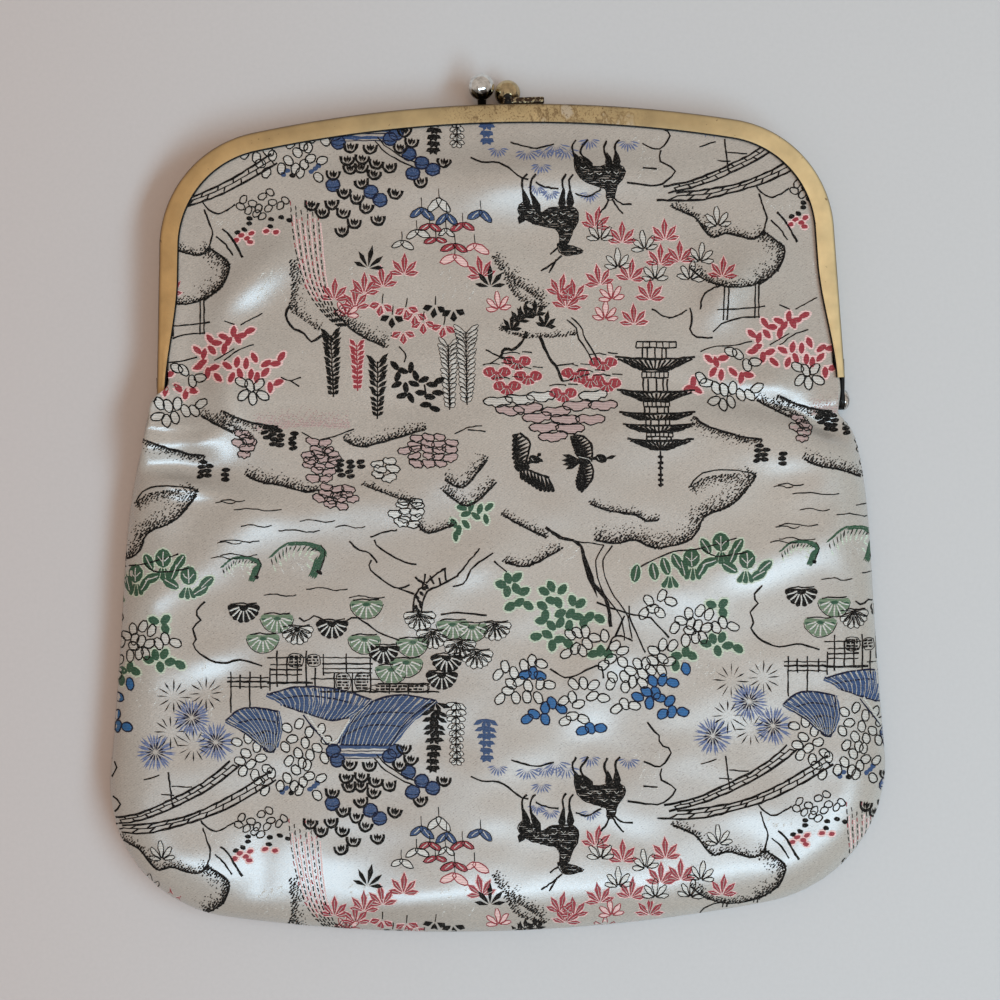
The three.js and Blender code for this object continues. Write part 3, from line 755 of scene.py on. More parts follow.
def birds():
    """Two cranes in flight."""
    wing(
        [(525, 464), (528.4, 452.5), (529.5, 442), (519.3, 433)],
        [(517, 472), (512, 460), (511.5, 447), (512.5, 437)],
    )
    wing(
        [(519, 467), (530.5, 471), (540.6, 475), (548.8, 478)],
        [(522, 480), (530.5, 485.5), (541, 492), (554, 492.5)],
    )
    wing(
        [(591.4, 457.6), (591.8, 450.5), (589.4, 442.3), (581.3, 436.3), (573, 436)],
        [(580, 460), (575, 455.5), (573, 450), (571, 444), (570, 438)], 10,
    )
    wing(
        [(590, 462), (592.6, 470), (592.4, 476), (589.4, 483), (584.3, 489)],
        [(579, 466), (576.5, 474), (574.5, 482), (576, 489), (580.5, 492)], 10,
    )
    strokes("black", [
        (579, 460, 562, 455), (579, 461, 561, 460.5), (579, 462, 562, 465), (580, 463, 565, 469.5),
    ], 5)
    petals("black", [(522, 467), (584, 461)], 16, 9, 0, 4)
    petals("black", [(534.5, 459.6), (600.5, 458.6)], 12.5, 8.5, 12, 2)
    strokes("black", [
        (524, 466, 534, 459), (588, 460, 600, 457), (538, 459, 543, 462), (537, 457, 541, 453),
        (604, 459, 616, 456),
    ], 4)
    ropes_of("glint", [
        [(578, 457), (588, 459), (592, 464)], [(531, 458), (533, 461)], [(597, 457), (599, 460)],
    ], 0.7)


def pagoda():
    """Five roofs, one over the other, and the spire below them."""
    roofs = [  # half width at the eave, eave y, half width at the neck, neck y, middle x
        (37, 359, 15, 370, 655), (36, 392, 14, 401, 656), (35, 414, 18, 420, 657), (33, 426, 18, 432, 658),
        (30, 441, 7, 450, 660),
    ]
    for wide, y0, narrow, y1, x in roofs:
        ridge, neck = [(x - wide, y0), (x, y0 + 1.5), (x + wide, y0)], [(x - narrow, y1), (x + narrow, y1)]
        eave = [(x - wide - 3, y0 - 2), (x - wide * 0.5, y0), (x + wide * 0.5, y0), (x + wide + 3, y0 - 2)]
        ribbed("black", ridge, neck, 15, 2.2)
        rope("black", eave, 2.4)
        rope("black", neck, 2.0)
    railings = [(342, 348, 20, 656), (372, 378, 13, 655), (402, 407, 13, 656), (433, 437, 13, 659)]
    for y0, y1, half, x in railings:
        ropes_of("black", [[(x - half, y0), (x + half, y0)], [(x - half, y1), (x + half, y1)]], 1.8)
        for i in range(7):
            rope("black", [(x - half + 2 * half * i / 6, y0), (x - half + 2 * half * i / 6, y1)], 1.3)
    for y0, y1, x in ((348, 359, 655), (379, 391, 656), (407, 414, 657), (420, 426, 658), (437, 442, 659)):
        ropes_of("black", [[(x + dx, y0), (x + dx, y1)] for dx in (-13, -8, 0, 7, 11)], 1.7)
    rope("black", [(660, 450), (660, 487)], 1.8)
    petals("black", [(660, 457), (660, 463), (660, 468), (660, 475), (660, 480), (660, 485)], 6, 3.4, 0, 0)


def house_walls():
    """The boat house's fences, walls and windows."""
    bars = [  # x0, y0, x1, y1, width
        (228, 677, 270, 677, 1.3), (228, 681, 270, 681, 2.2), (231, 686, 270, 686, 1.3),
        (268, 657, 306, 657, 1.3), (271, 664, 303, 664, 1.3), (271, 669, 303, 669, 1.9),
        (271, 674, 303, 674, 1.3), (268, 682, 314, 682, 2.4), (320, 657, 376, 657, 1.3),
        (323, 663, 373, 663, 1.9), (323, 668, 373, 668, 1.3), (323, 672, 373, 672, 1.3),
        (320, 691, 440, 691, 1.9), (312, 678, 380, 679, 1.3), (378, 683, 430, 683, 1.6),
    ]
    for x0, y0, x1, y1, width in bars:
        rope("black", [(x0, y0), ((x0 + x1) / 2, (y0 + y1) / 2), (x1, y1)], width)
    posts = [  # x, y0, y1
        (232, 671, 712), (251, 671, 708), (278, 650, 686), (307, 650, 686), (271, 667, 690), (316, 667, 690),
        (324, 653, 675), (335, 672, 692), (353, 672, 692), (371, 655, 692), (390, 683, 693), (409, 683, 693),
        (347, 653, 672), (262, 674, 688), (241, 674, 688), (288, 657, 682), (298, 657, 682), (428, 683, 693),
    ]
    ropes_of("black", [[(x, y0), (x, y1)] for x, y0, y1 in posts], 1.6)
    for x0, y0, x1, y1 in (
        (290, 654, 303, 665), (309, 655, 320, 665), (338, 674, 350, 688), (357, 674, 370, 688),
        (376, 684, 425, 690),
    ):
        fill("black", [(x0, y0), (x1, y0), (x1, y1), (x0, y1)], 3.0, 1.1, 5, 1.0)


def house_roofs():
    """The boat house's three blue roofs, with a beam and a gable line."""
    roofs = [  # ridge, eave, ribs, width of a rib, bow
        ([(227, 720), (240, 709), (256, 707), (279, 711)],
         [(262, 744), (268, 748), (272, 751), (277, 746)], 13, 3.6, 4),
        ([(268, 694), (300, 686), (340, 689), (372, 699)],
         [(284, 704), (304, 711), (330, 719), (350, 716)], 19, 4.2, 3),
        ([(358, 712), (376, 700), (402, 694), (437, 700)],
         [(341, 743), (358, 744), (375, 744), (392, 744)], 15, 4.2, -4),
    ]
    for ridge, eave, count, width, bow in roofs:
        ribbed("blue", ridge, eave, count, width, bow)
        ribbed("glint", ridge, eave, count - 2, 0.6, bow)
        ropes_of("navy", [ridge, eave], 2.2)
    ropes_of("navy", [
        [(227, 720), (245, 731), (262, 744), (271, 752), (277, 745), (279, 711)],
        [(437, 700), (412, 715), (402, 727), (391, 744)], [(358, 712), (350, 726), (341, 743)],
        [(276, 699), (312, 695), (352, 702)], [(352, 722), (378, 712), (415, 712)],
        [(347, 733), (372, 724), (404, 726)], [(240, 722), (258, 718), (279, 722)],
        [(254, 734), (266, 730), (278, 734)],
    ], 1.8)
    ropes_of("blue", [[(340, 746), (392, 746)], [(338, 754), (392, 754)]], 3.6)
    ropes_of("navy", [[(338, 750), (392, 750)], [(340, 757), (392, 757)]], 1.0)
    plums([(334, 750), (396, 750)])
    ropes_of("glint", [[(308, 713), (332, 742), (350, 718)]], 2.2)
    rope("navy", [(304, 714), (331, 745), (344, 735)], 1.5)


def waterfall():
    """Falling threads in broken red, pink and dark lengths."""
    run = [  # x, y, step from one thread to the next
        (290, 200, 5.4), (292, 225, 5.3), (296, 250, 4.9), (303, 280, 4.2), (313, 300, 3.4), (326, 316, 2.4),
        (341, 328, 1.2),
    ]
    for i in range(6):
        route = [(x + i * step, y + (i % 3 * 5 if y < 220 else 0)) for x, y, step in run]
        line = along(spline(route, 8), np.linspace(0, 1, 61))
        for k in range(0, 60, 3):
            thread = "red" if k < 45 and (k // 3 + i) % 3 == 0 else "soot"
            rope(thread, [tuple(line[k]), tuple(line[k + 1]), tuple(line[k + 2])], 1.0 + 0.012 * k)
        rope("rose", [tuple(p + [2.3, 0]) for p in line[6:48:6]], 1.3)


CREST = [(-27, 2), (-15, -9), (-5, -14), (10, -15), (24, -12), (31, -5), (28, 8), (25, 16)]


def crest(x, y, size):
    """A curling wave: strands along an arch that thickens to its end, with a fringe of strokes."""
    line = np.array(CREST, float) * size + [x, y]
    arch = along(spline(line, 8), np.linspace(0, 1, 34))
    heading = np.gradient(arch, axis=0)
    inward = np.stack([-heading[:, 1], heading[:, 0]], 1) / np.linalg.norm(heading, axis=1)[:, None]
    for k, (p, h, n) in enumerate(zip(arch, heading, inward)):
        turn = math.degrees(math.atan2(h[1], h[0]))
        for step in range(1 + k // 9):
            foot = p + n * (0.6 + 2.0 * size * step)
            lenses["green"].append(turned(leaf_points(size * 9, 2.1), *foot, turn + 12))
        if k % 2 and k < 26:
            thread = "soot" if k % 4 == 1 else "green"
            blade = leaf_points(size * chance.uniform(6, 10), 1.4)
            lenses[thread].append(turned(blade, *(p + n * 3), turn + 120))
        if k % 3 == 0:
            lenses["mint"].append(turned(leaf_points(size * 9, 2.0), *(p + n * 8 * size), turn + 110))
    rope("soot", [tuple(p) for p in arch[22:]], 1.5)
    petals("black", [tuple(arch[-1])], 7 * size, 4, 30, 4)
    tinsel(x - 20 * size, y - 4, x + 18 * size, y + 18 * size, 12, 60)


def bridge_garden():
    """Blossoms, beads and berries round the bridge's end."""
    clustered("white", [
        (260, 163), (272, 155), (288, 160), (297, 152), (308, 147), (295, 168), (322, 160), (300, 172),
        (318, 177), (281, 168), (310, 158), (266, 172), (304, 164), (238, 741), (249, 737), (258, 746),
        (247, 752), (288, 727), (300, 723), (310, 731), (322, 728), (293, 738), (306, 742), (318, 747),
        (299, 752), (262, 757), (252, 763), (241, 760), (268, 768), (256, 774), (244, 770), (263, 737),
        (270, 747), (327, 739), (286, 746), (311, 754), (325, 757), (290, 760), (303, 762),
    ], 11.5, 8.4)
    petals("blue", [(283, 174), (287, 170), (315, 168), (311, 171), (318, 165)], 6, 5)
    petals("bare", [
        (243, 199), (240, 206), (252, 203), (262, 196), (270, 192), (258, 208), (268, 208), (272, 202),
        (280, 205), (285, 200), (262, 216), (256, 213), (248, 210),
    ], 9, 6.5, 0, 60)
    petals("black", [
        (249, 218), (249, 223), (271, 219), (281, 217), (289, 220), (244, 229), (270, 226), (237, 232),
        (292, 175),
    ], 6.5, 4.6)
    petals("red", [
        (241, 235), (251, 233), (247, 238), (250, 242), (236, 240), (266, 231), (276, 232),
    ], 6.5, 4.6)
    rope("black", [(222, 228), (230, 236), (243, 258)], 2.4)


def cup_flowers():
    """Cup flowers and blue plums, with leaves in pairs beside them."""
    cups([
        (350, 147), (370, 148), (347, 160), (362, 159), (350, 169), (361, 168), (376, 164), (390, 168),
        (374, 175), (333, 175), (362, 184), (344, 193), (357, 199), (311, 205), (332, 204), (322, 213),
        (343, 213), (366, 208), (395, 194), (378, 220), (354, 223), (342, 231), (400, 148), (411, 142),
        (404, 131), (444, 163), (421, 183),
    ])
    plums([
        (338, 142), (390, 138), (409, 154), (333, 185), (371, 192), (380, 200), (413, 174), (422, 163),
        (433, 170),
    ])
    ropes_of("black", [
        [(375, 140), (383, 150), (390, 155), (402, 162), (415, 168)],
        [(377, 136), (386, 146), (404, 158), (417, 163)],
    ], 1.5)
    leaf_pairs("white", [
        (439, 198, 430, 212, 448, 213), (417, 229, 408, 239, 428, 238), (446, 228, 440, 236, 453, 237),
        (402, 240, 393, 248, 412, 250),
    ])
    leaf_pairs("blue", [
        (422, 207, 412, 218, 432, 221), (447, 213, 438, 225, 455, 226), (481, 210, 469, 220, 490, 223),
    ])
    leaf_pairs("red", [
        (430, 223, 420, 231, 440, 232), (463, 222, 452, 232, 473, 231), (436, 237, 425, 244, 446, 243),
        (455, 243, 442, 252, 466, 253),
    ])
    leaf_pairs("pink", [(475, 243, 467, 251, 487, 255), (455, 254, 442, 264, 466, 267)])


def maples():
    """Maple leaves, and drooping ones below."""
    sprig("black", [(368, 268), (490, 287)], 19, 5, MAPLE, gap=1.5)
    sprig("red", [
        (404, 275), (383, 287), (364, 294), (355, 308), (334, 300), (482, 277), (595, 228), (622, 243),
        (665, 240), (630, 280), (660, 265), (680, 262), (722, 278), (600, 285), (650, 300), (634, 325),
        (560, 295), (566, 308), (574, 300),
    ], 18, 5.8, MAPLE, gap=1.5, vein="glint")
    sprig("white", [
        (600, 240), (645, 250), (618, 268), (700, 262), (690, 280), (655, 280), (718, 226),
    ], 17, 5.4, MAPLE, gap=1.5)
    sprig("pink", [(499, 310), (605, 320), (346, 316), (612, 300)], 16, 5.2, MAPLE, gap=1.5)
    sprig("red", [
        (382, 303), (406, 307), (403, 331), (423, 321), (444, 325), (415, 313),
    ], 10.5, 7, DROOP, gap=2.5, vein="glint")
    sprig("black", [(392, 315), (435, 305), (453, 309)], 10.5, 7, DROOP, gap=2.5)
    stalks = [(382, 303), (406, 307), (423, 321), (444, 325), (392, 315), (435, 305)]
    ropes_of("black", [[(x, y), (x + 1, y - 9)] for x, y in stalks], 1.2)


def fir_twigs():
    """Hanging fir twigs, and dark leaves beside them."""
    feather("black", 331, 335, 334, 397, 13)
    feather("red", 357, 345, 358, 391, 10)
    feather("black", 378, 362, 378, 419, 14)
    feather("white", 448, 345, 450, 410, 13)
    feather("white", 466, 332, 467, 405, 15)
    clustered("black", [
        (395, 366), (403, 371), (411, 368), (416, 376), (398, 377), (397, 385), (406, 388), (414, 384),
        (424, 380), (432, 385), (439, 381), (402, 396), (411, 398), (421, 393), (430, 397), (438, 393),
        (426, 405), (435, 409),
    ], 12, 6.2, 12, 0.2)
    ropes_of("black", [[(399, 347), (406, 355), (404, 363)], [(425, 385), (427, 400)]], 1.6)


def red_sprays():
    """Red sprays with white blossom."""
    clustered("red", [
        (224, 337), (229, 342), (234, 332), (238, 339), (242, 336), (250, 331), (225, 349), (228, 366),
        (238, 363), (247, 364), (255, 358), (267, 364), (276, 364), (282, 357), (233, 378), (241, 374),
        (252, 375), (258, 378), (266, 373), (271, 388), (279, 383), (765, 323), (772, 327), (752, 334),
        (759, 338), (767, 334), (753, 351), (757, 347), (770, 352), (763, 357), (774, 362), (709, 359),
        (716, 362), (723, 358), (713, 372), (721, 375), (733, 372), (741, 378), (748, 375), (689, 388),
        (697, 390), (693, 382),
    ], 11.8, 6.2, 16, 0.3)
    ropes_of("black", [
        [(225, 321), (235, 325)], [(241, 325), (250, 320), (263, 313)], [(225, 361), (240, 350), (254, 345)],
        [(282, 378), (290, 381), (302, 378)], [(290, 381), (300, 387)], [(770, 345), (790, 333)],
        [(700, 352), (712, 347), (735, 345), (752, 341)],
    ], 1.4)
    clustered("white", [
        (243, 383), (251, 386), (260, 385), (245, 396), (254, 399), (264, 396), (701, 378), (706, 383),
        (716, 388), (724, 390), (733, 388), (714, 401), (723, 405), (731, 402), (731, 352), (738, 354),
        (747, 365), (755, 362), (741, 395), (750, 395), (757, 388),
    ], 14, 8.5, 19, 0.2)


def meadow():
    """The deer's meadow and its shore."""
    for x, y, radius in (
        (498, 152, 10), (527, 156, 12), (556, 150, 14), (541, 170, 10), (590, 143, 10), (537, 191, 9),
        (550, 196, 9), (590, 197, 10), (628, 145, 10), (545, 154, 10), (566, 154, 12),
    ):
        grass(x, y, radius)
    ropes_of("black", [
        [(511, 142), (525, 146), (538, 148), (554, 144)],
        [(471, 158), (482, 163), (497, 163), (507, 168), (519, 178), (528, 181)],
        [(536, 184), (545, 188), (558, 190)], [(575, 194), (587, 197), (601, 190)],
    ], 1.9)
    ropes_of("black", [
        [(647, 104), (652, 112), (658, 117), (660, 126), (670, 132), (668, 140), (658, 149), (643, 143)],
        [(661, 150), (660, 161), (669, 166), (675, 171), (670, 178), (657, 186), (627, 183)],
        [(643, 168), (657, 169)],
    ], 1.9)
    tinsel(628, 135, 662, 178, 26)


def island():
    """The hatched island and its posts."""
    hill([(672, 207), (695, 217), (705, 230), (714, 237), (727, 233), (752, 239), (764, 232)], 9, -1)
    hill([(764, 232), (780, 243), (785, 250), (782, 262), (776, 272), (760, 283)], 16, 1, 2.4)
    hill([(690, 268), (705, 280), (725, 287), (745, 287), (762, 282)], 10, -1, 1.7)
    ropes_of("black", [
        [(757, 186), (762, 192), (773, 197), (790, 188)], [(759, 193), (763, 205), (767, 217), (764, 230)],
        [(771, 220), (780, 228), (788, 240)], [(700, 310), (705, 293), (727, 284)],
        [(690, 308), (692, 320), (690, 330), (697, 337), (713, 338)], [(687, 310), (670, 318), (652, 309)],
    ], 1.8)
    ropes_of("black", [
        [(724, 287), (723, 320)], [(728, 287), (727, 320)], [(755, 282), (755, 318)],
        [(759, 282), (759, 318)], [(717, 310), (740, 309), (765, 306)],
        [(713, 332), (722, 324), (740, 318), (760, 317)],
    ], 1.7)
    tinsel(765, 195, 792, 228, 12)


def rocks():
    """Rocks under the waterfall."""
    hatch([(290, 262), (292, 285), (290, 305)], 18, -1)
    rope("black", [
        (290, 305), (286, 312), (288, 322), (295, 330), (303, 332), (312, 342), (320, 337), (330, 335),
        (332, 343),
    ], 2.6)
    hatch([(290, 308), (300, 318), (318, 330)], 12, -1)
    hill([(335, 312), (350, 328), (365, 338), (385, 347)], 15, -1, 1.9)
    tinsel(258, 268, 300, 302, 26)
    tinsel(350, 262, 384, 292, 14)


def dark_trees():
    """Dark trees and the slopes that they stand on."""
    sprig("black", [(511, 330), (526, 318), (545, 327), (536, 316), (519, 322)], 14.5, 4.6, MAPLE)
    ropes_of("black", [
        [(527, 332), (522, 342), (513, 350), (505, 349), (500, 358)],
        [(540, 337), (549, 358), (556, 366), (562, 382)],
    ], 3.0)
    ropes_of("black", [
        [(486, 350), (500, 357), (512, 358)], [(567, 320), (576, 328), (578, 338), (585, 348), (594, 365)],
        [(571, 318), (582, 328), (584, 338), (590, 347), (600, 364)], [(556, 366), (574, 364)],
        [(562, 382), (590, 374)], [(500, 358), (490, 364)], [(500, 358), (520, 366)],
    ], 1.6)
    hatch([(500, 330), (530, 338), (575, 335)], 9, -1)
    hatch([(493, 258), (500, 268), (512, 280), (540, 300)], 16, -1)
    hatch([(505, 280), (520, 300), (545, 308)], 12, -1)


def tree_pads():
    """Red tufts and pale pads of the trees."""
    red_tufts([
        (517, 363), (497, 374), (528, 378), (507, 388), (575, 375), (563, 395), (590, 381), (603, 364),
        (607, 385),
    ])
    pads = {
        "white": [(498, 402), (541, 397), (593, 396), (520, 400)],
        "blush": [
            (528, 409), (556, 412), (537, 418), (565, 420), (577, 406), (570, 429), (553, 437), (590, 420),
            (603, 406), (510, 411), (544, 428),
        ],
    }
    for style, places in pads.items():
        for x, y in places:
            shape(style, turned(pad_points(30, 10), x, y, chance.uniform(-6, 6)), 1.4)


def hills():
    """Hatched hills."""
    hill([(225, 412), (240, 419), (262, 425), (278, 427)], 10)
    hatch([(218, 418), (234, 428), (250, 438)], 9, -1)
    hatch([(258, 430), (300, 427), (348, 428)], 24, -1, 1.0, "pink")
    hill([(247, 475), (262, 482), (280, 485), (308, 492), (318, 490)], 13, -1)
    hill([(345, 440), (360, 447), (380, 443), (425, 430)], 12, -1)
    hill([(365, 485), (390, 495), (415, 503)], 10, -1, 1.4, 1.3)
    hill([(445, 480), (460, 488), (470, 482), (487, 460)], 12, -1)
    hill([(443, 490), (462, 505), (475, 503), (495, 484)], 12, -1)
    hill([(418, 525), (430, 533), (455, 524)], 9, -1)
    hill([(503, 515), (515, 522), (545, 537)], 9, -1)
    hill([(505, 562), (525, 566), (545, 558), (560, 549)], 10, -1)
    hill([(695, 418), (705, 426), (740, 437), (760, 440)], 10, 1)
    hill([(757, 400), (772, 408), (790, 417)], 10, -1)
    hill([(590, 504), (610, 511), (635, 515), (645, 521), (657, 520)], 8, -1)
    hill([
        (595, 540), (615, 543), (635, 540), (655, 548), (680, 543), (692, 537), (698, 528), (703, 517),
        (730, 505), (745, 490), (755, 475),
    ], 18, -1, 2.1)
    rope("black", [(690, 486), (700, 474), (722, 470), (745, 472), (755, 475)], 1.6)
    hatch([(690, 486), (705, 478), (735, 474)], 14, 1)


def heaps():
    """Heaps of foliage on the hills."""
    heap("blush", 232, 430, 262, 458)
    dash_stacks([
        (267, 428, 441), (281, 431, 449), (294, 434, 451), (341, 461, 480), (351, 462, 477), (361, 462, 470),
        (225, 470, 482), (757, 446, 461), (763, 450, 461), (275, 430, 445),
    ])
    heap("blush", 299, 441, 340, 480)
    heap("blush", 309, 485, 364, 509)
    heap("blush", 397, 435, 460, 466)
    heap("white", 366, 460, 403, 480)
    heap("white", 387, 498, 430, 527)
    ropes_of("black", [
        [(303, 433), (312, 438)], [(321, 440), (338, 436), (355, 429)], [(455, 434), (468, 428), (482, 426)],
        [(468, 430), (486, 432)],
    ], 1.4)


def water():
    """Ripples and two curling waves."""
    for x0, x1, y in (
        (222, 247, 501), (236, 283, 510), (301, 336, 521), (243, 273, 526), (280, 321, 531), (336, 366, 527),
        (222, 261, 541), (222, 258, 555), (265, 297, 595), (307, 348, 589), (350, 385, 597), (772, 792, 487),
        (774, 798, 527), (768, 796, 542),
    ):
        wide = x1 - x0
        rope("black", [(x0, y), (x0 + wide * 0.35, y - 1.5), (x0 + wide * 0.7, y + 1), (x1, y - 0.5)], 1.2)
    crest(295, 556, 1.0)
    crest(240, 566, 0.7)


def bare_trees():
    """Bare trees."""
    ropes_of("black", [
        [(371, 537), (384, 532), (398, 530)], [(375, 540), (380, 548), (405, 562), (417, 564)],
        [(350, 541), (358, 549), (370, 553), (378, 563)],
        [(372, 560), (370, 568), (385, 581), (399, 588), (410, 584)], [(415, 577), (428, 586)],
        [(430, 575), (434, 584)], [(445, 568), (446, 580)], [(453, 586), (465, 582), (473, 567), (493, 553)],
        [(494, 561), (507, 572)], [(399, 588), (415, 594)], [(457, 576), (470, 560), (480, 548)],
        [(624, 615), (615, 635)], [(650, 617), (668, 637)], [(550, 668), (568, 677), (598, 664), (603, 677)],
        [(596, 602), (625, 612), (650, 617)], [(628, 605), (630, 620), (645, 652)],
        [(606, 650), (615, 635), (632, 640)],
    ], 1.9)
    ropes_of("black", [
        [(414, 612), (414, 602), (418, 591), (424, 584), (416, 577)],
        [(422, 612), (424, 600), (430, 589), (441, 585), (457, 576)], [(424, 584), (425.6, 573)],
        [(426, 583), (436, 574), (446, 568)], [(439.6, 577), (441, 585)],
    ], 2.2)
    petals("black", [
        (417, 607), (420, 601), (418, 597), (422, 593), (424, 588), (419, 611), (427, 587), (421, 605),
    ], 5.5, 3.2, 60, 40)
    ropes_of("black", [
        [(545, 527), (560, 537), (574, 541), (581, 546)], [(581, 546), (591, 579), (606, 601), (610, 626)],
    ], 3.4)
    strokes("black", [(579, 543, 597, 598)], 7)
    ropes_of("black", [
        [(612, 545), (602, 563), (610, 590), (626, 613), (631, 638)],
        [(604, 545), (595, 563), (603, 592), (620, 616), (624, 640)], [(574, 541), (590, 543), (604, 545)],
    ], 1.4)


def green_foliage():
    """Green leaves, single and in clusters."""
    clustered("green", [
        (462, 508), (471, 507), (480, 509), (489, 507), (466, 514), (476, 516), (486, 519), (454, 523),
        (459, 530), (456, 536), (466, 524),
    ], 11, 6, 15, 0.2)
    clustered("green", [
        (501, 584), (508, 578), (517, 577), (507, 591), (516, 588), (524, 591), (544, 591), (551, 586),
        (562, 589), (510, 606), (519, 602), (528, 605), (542, 605), (551, 600), (558, 602), (572, 600),
        (580, 603), (545, 615), (560, 613), (570, 613), (577, 616), (541, 620), (551, 625), (560, 622),
        (569, 625), (536, 636), (547, 634), (559, 639), (552, 645), (568, 643), (589, 616), (599, 618),
        (583, 622), (600, 650), (593, 653), (607, 653),
    ], 12.5, 8.6, 14, 0.25)
    for x, y in ((719.6, 542), (690.3, 557.5), (745.4, 559)):
        shape("green", turned(oval_points(19, 17, 0.12), x, y, 90))
        ropes_of("glint", [turned([(1, 0), (8, 0)], x, y + 4, a) for a in (-135, -45)], 1.0)
        rope("glint", [(x, y + 8), (x, y - 6)], 1.2)
    for x, y, turn in (
        (704.5, 546, 60), (736, 546, 125), (676, 561, 60), (664.5, 566, 70), (728, 567, 30), (763, 566, 140),
        (708, 562, 160), (635, 573, 100), (653, 571, 80), (682, 568, 75), (731, 555, 110), (757, 574, 150),
        (701, 568, 120),
    ):
        shape("green", turned(oval_points(18, 10, 0.2), x, y, turn))
        rope("glint", turned([(-7, 0), (7, 0)], x, y, turn), 1.1)
    for x, y in ((719.6, 552), (691.5, 568), (669, 576), (744, 571)):
        for dx, turn in ((-4, 115), (0, 90), (4, 65)):
            shape("green", turned(tear_points(12, 5.4), x + dx * 0.5, y, turn), 1.0, 1.2)
    clustered("green", [
        (710, 604), (722, 603), (722, 612), (705, 643), (712, 638), (721, 637), (717, 650), (727, 645),
        (737, 648), (676, 655), (685, 651), (691, 655), (675, 665),
    ], 12, 8.5, 16, 0.25)
    ropes_of("black", [
        [(640, 566), (670, 552), (700, 548), (735, 538)], [(700, 548), (715, 556), (745, 552)],
    ], 1.5)


def pine_tufts():
    """Pine tufts and their twigs."""
    fans("black", [(245, 614), (333, 630), (384, 655), (447, 664), (442, 681)])
    fans("sage", [
        (278, 624), (264, 644), (367, 610), (365, 645), (413, 648), (407, 668), (453, 630), (472, 633),
        (392, 675),
    ])
    fans("white", [(298, 636), (420, 622), (433, 640), (495, 632), (460, 650), (477, 660)])
    ropes_of("black", [
        [(300, 617), (307, 621), (316, 615), (325, 620), (340, 624), (357, 617), (378, 631), (400, 640)],
        [(441, 614), (456, 612), (470, 613), (487, 615)],
    ], 1.9)


def blossom_tree():
    """White blossom, with blue blossom in it."""
    clustered("white", [
        (498, 674), (505, 666), (514, 672), (524, 665), (532, 660), (541, 663), (511, 683), (519, 681),
        (528, 685), (540, 683), (549, 684), (500, 698), (508, 690), (516, 697), (527, 696), (538, 697),
        (570, 634), (577, 632), (585, 631), (594, 637), (587, 643), (575, 648), (566, 653), (582, 650),
        (563, 700), (572, 696), (578, 703), (592, 695), (573, 683), (583, 682), (593, 684), (565, 720),
        (572, 715), (583, 718), (604, 635), (603, 664), (610, 658), (622, 661), (614, 645), (622, 650),
        (648, 600), (661, 595), (670, 601), (643, 613), (652, 608), (659, 612), (688, 613), (699, 610),
        (708, 614), (674, 627), (680, 620), (690, 623), (697, 625), (706, 627), (715, 627), (722, 622),
        (732, 626), (689, 630), (685, 640), (695, 637), (702, 637), (653, 650), (662, 644), (672, 645),
        (637, 663), (645, 663), (652, 660), (662, 658), (669, 661), (630, 670), (642, 673), (650, 669),
        (661, 670), (612, 676), (624, 676), (610, 683), (632, 681), (642, 682), (625, 686), (603, 697),
        (616, 708), (624, 703), (634, 705),
    ], 13, 8.6, 15)
    clustered("azure", [
        (527, 718), (534, 713), (545, 718), (545, 707), (552, 702), (561, 708), (582, 730), (590, 727),
        (600, 727), (525, 674), (533, 672), (540, 675), (652, 680), (662, 679), (672, 682), (637, 696),
        (646, 691), (655, 692), (649, 702), (659, 697), (669, 700), (662, 713), (671, 711), (682, 711),
        (685, 668),
    ], 13, 9, 15, 0.1)


def bunches():
    """Hanging bunches."""
    for style, x0, y0, x1, y1, wide in (
        ("black", 436, 702, 433, 772, 17), ("white", 456, 702, 457, 765, 13),
        ("blue", 486, 718, 487, 762, 15),
    ):
        rows = int((y1 - y0) / 6.5)
        for i in range(rows):
            t = (i + 0.5) / rows
            x, y, reach = x0 + (x1 - x0) * t, y0 + (y1 - y0) * t, wide * (1 - 0.65 * t)
            for turn, share in ((-62, 1.0), (62, 1.0), (-24, 0.75), (24, 0.75)):
                leaf = leaf_points(max(share * reach, 8), 4.8)
                shape(style, turned(leaf, x, y - 4, 90 + turn + chance.uniform(-8, 8)), 0.9)


def spider_flowers():
    """Spider flowers, the shore beside them, and bright threads here and there."""
    for x, y in ((748, 701), (712, 735), (772, 725)):
        spider_flower(x, y, 20, 30, "sky", width=2.0)
        spider_flower(x, y, 12, 14, "navy", 0.15)
    for x, y in ((730, 680), (762, 677), (727, 715), (750, 729)):
        spider_flower(x, y, 17, 12, "black", 0.3, 1.3)
    rope("black", [
        (761, 585), (752, 596), (757, 603), (749, 612), (753, 621), (750, 628), (757, 637), (772, 645),
        (783, 646), (797, 643), (818, 649),
    ], 2.0)
    for x0, y0, x1, y1, count in (
        (600, 560, 640, 600, 10), (690, 650, 730, 690, 14), (380, 615, 440, 640, 10),
        (560, 330, 600, 350, 8), (745, 640, 790, 700, 20), (300, 330, 330, 360, 6), (440, 270, 480, 300, 14),
        (540, 540, 580, 560, 8),
    ):
        tinsel(x0, y0, x1, y1, count)


def chart():
    """All the figures of one repeat, in the order that they are drawn."""
    figures = [
        bridge, deer, waterfall, birds, pagoda, house_walls, house_roofs, bridge_garden, cup_flowers, maples,
        fir_twigs, red_sprays, meadow, island, rocks, dark_trees, tree_pads, hills, heaps, water, bare_trees,
        green_foliage, pine_tufts, blossom_tree, bunches, spider_flowers,
    ]
    for figure in figures:
        figure()


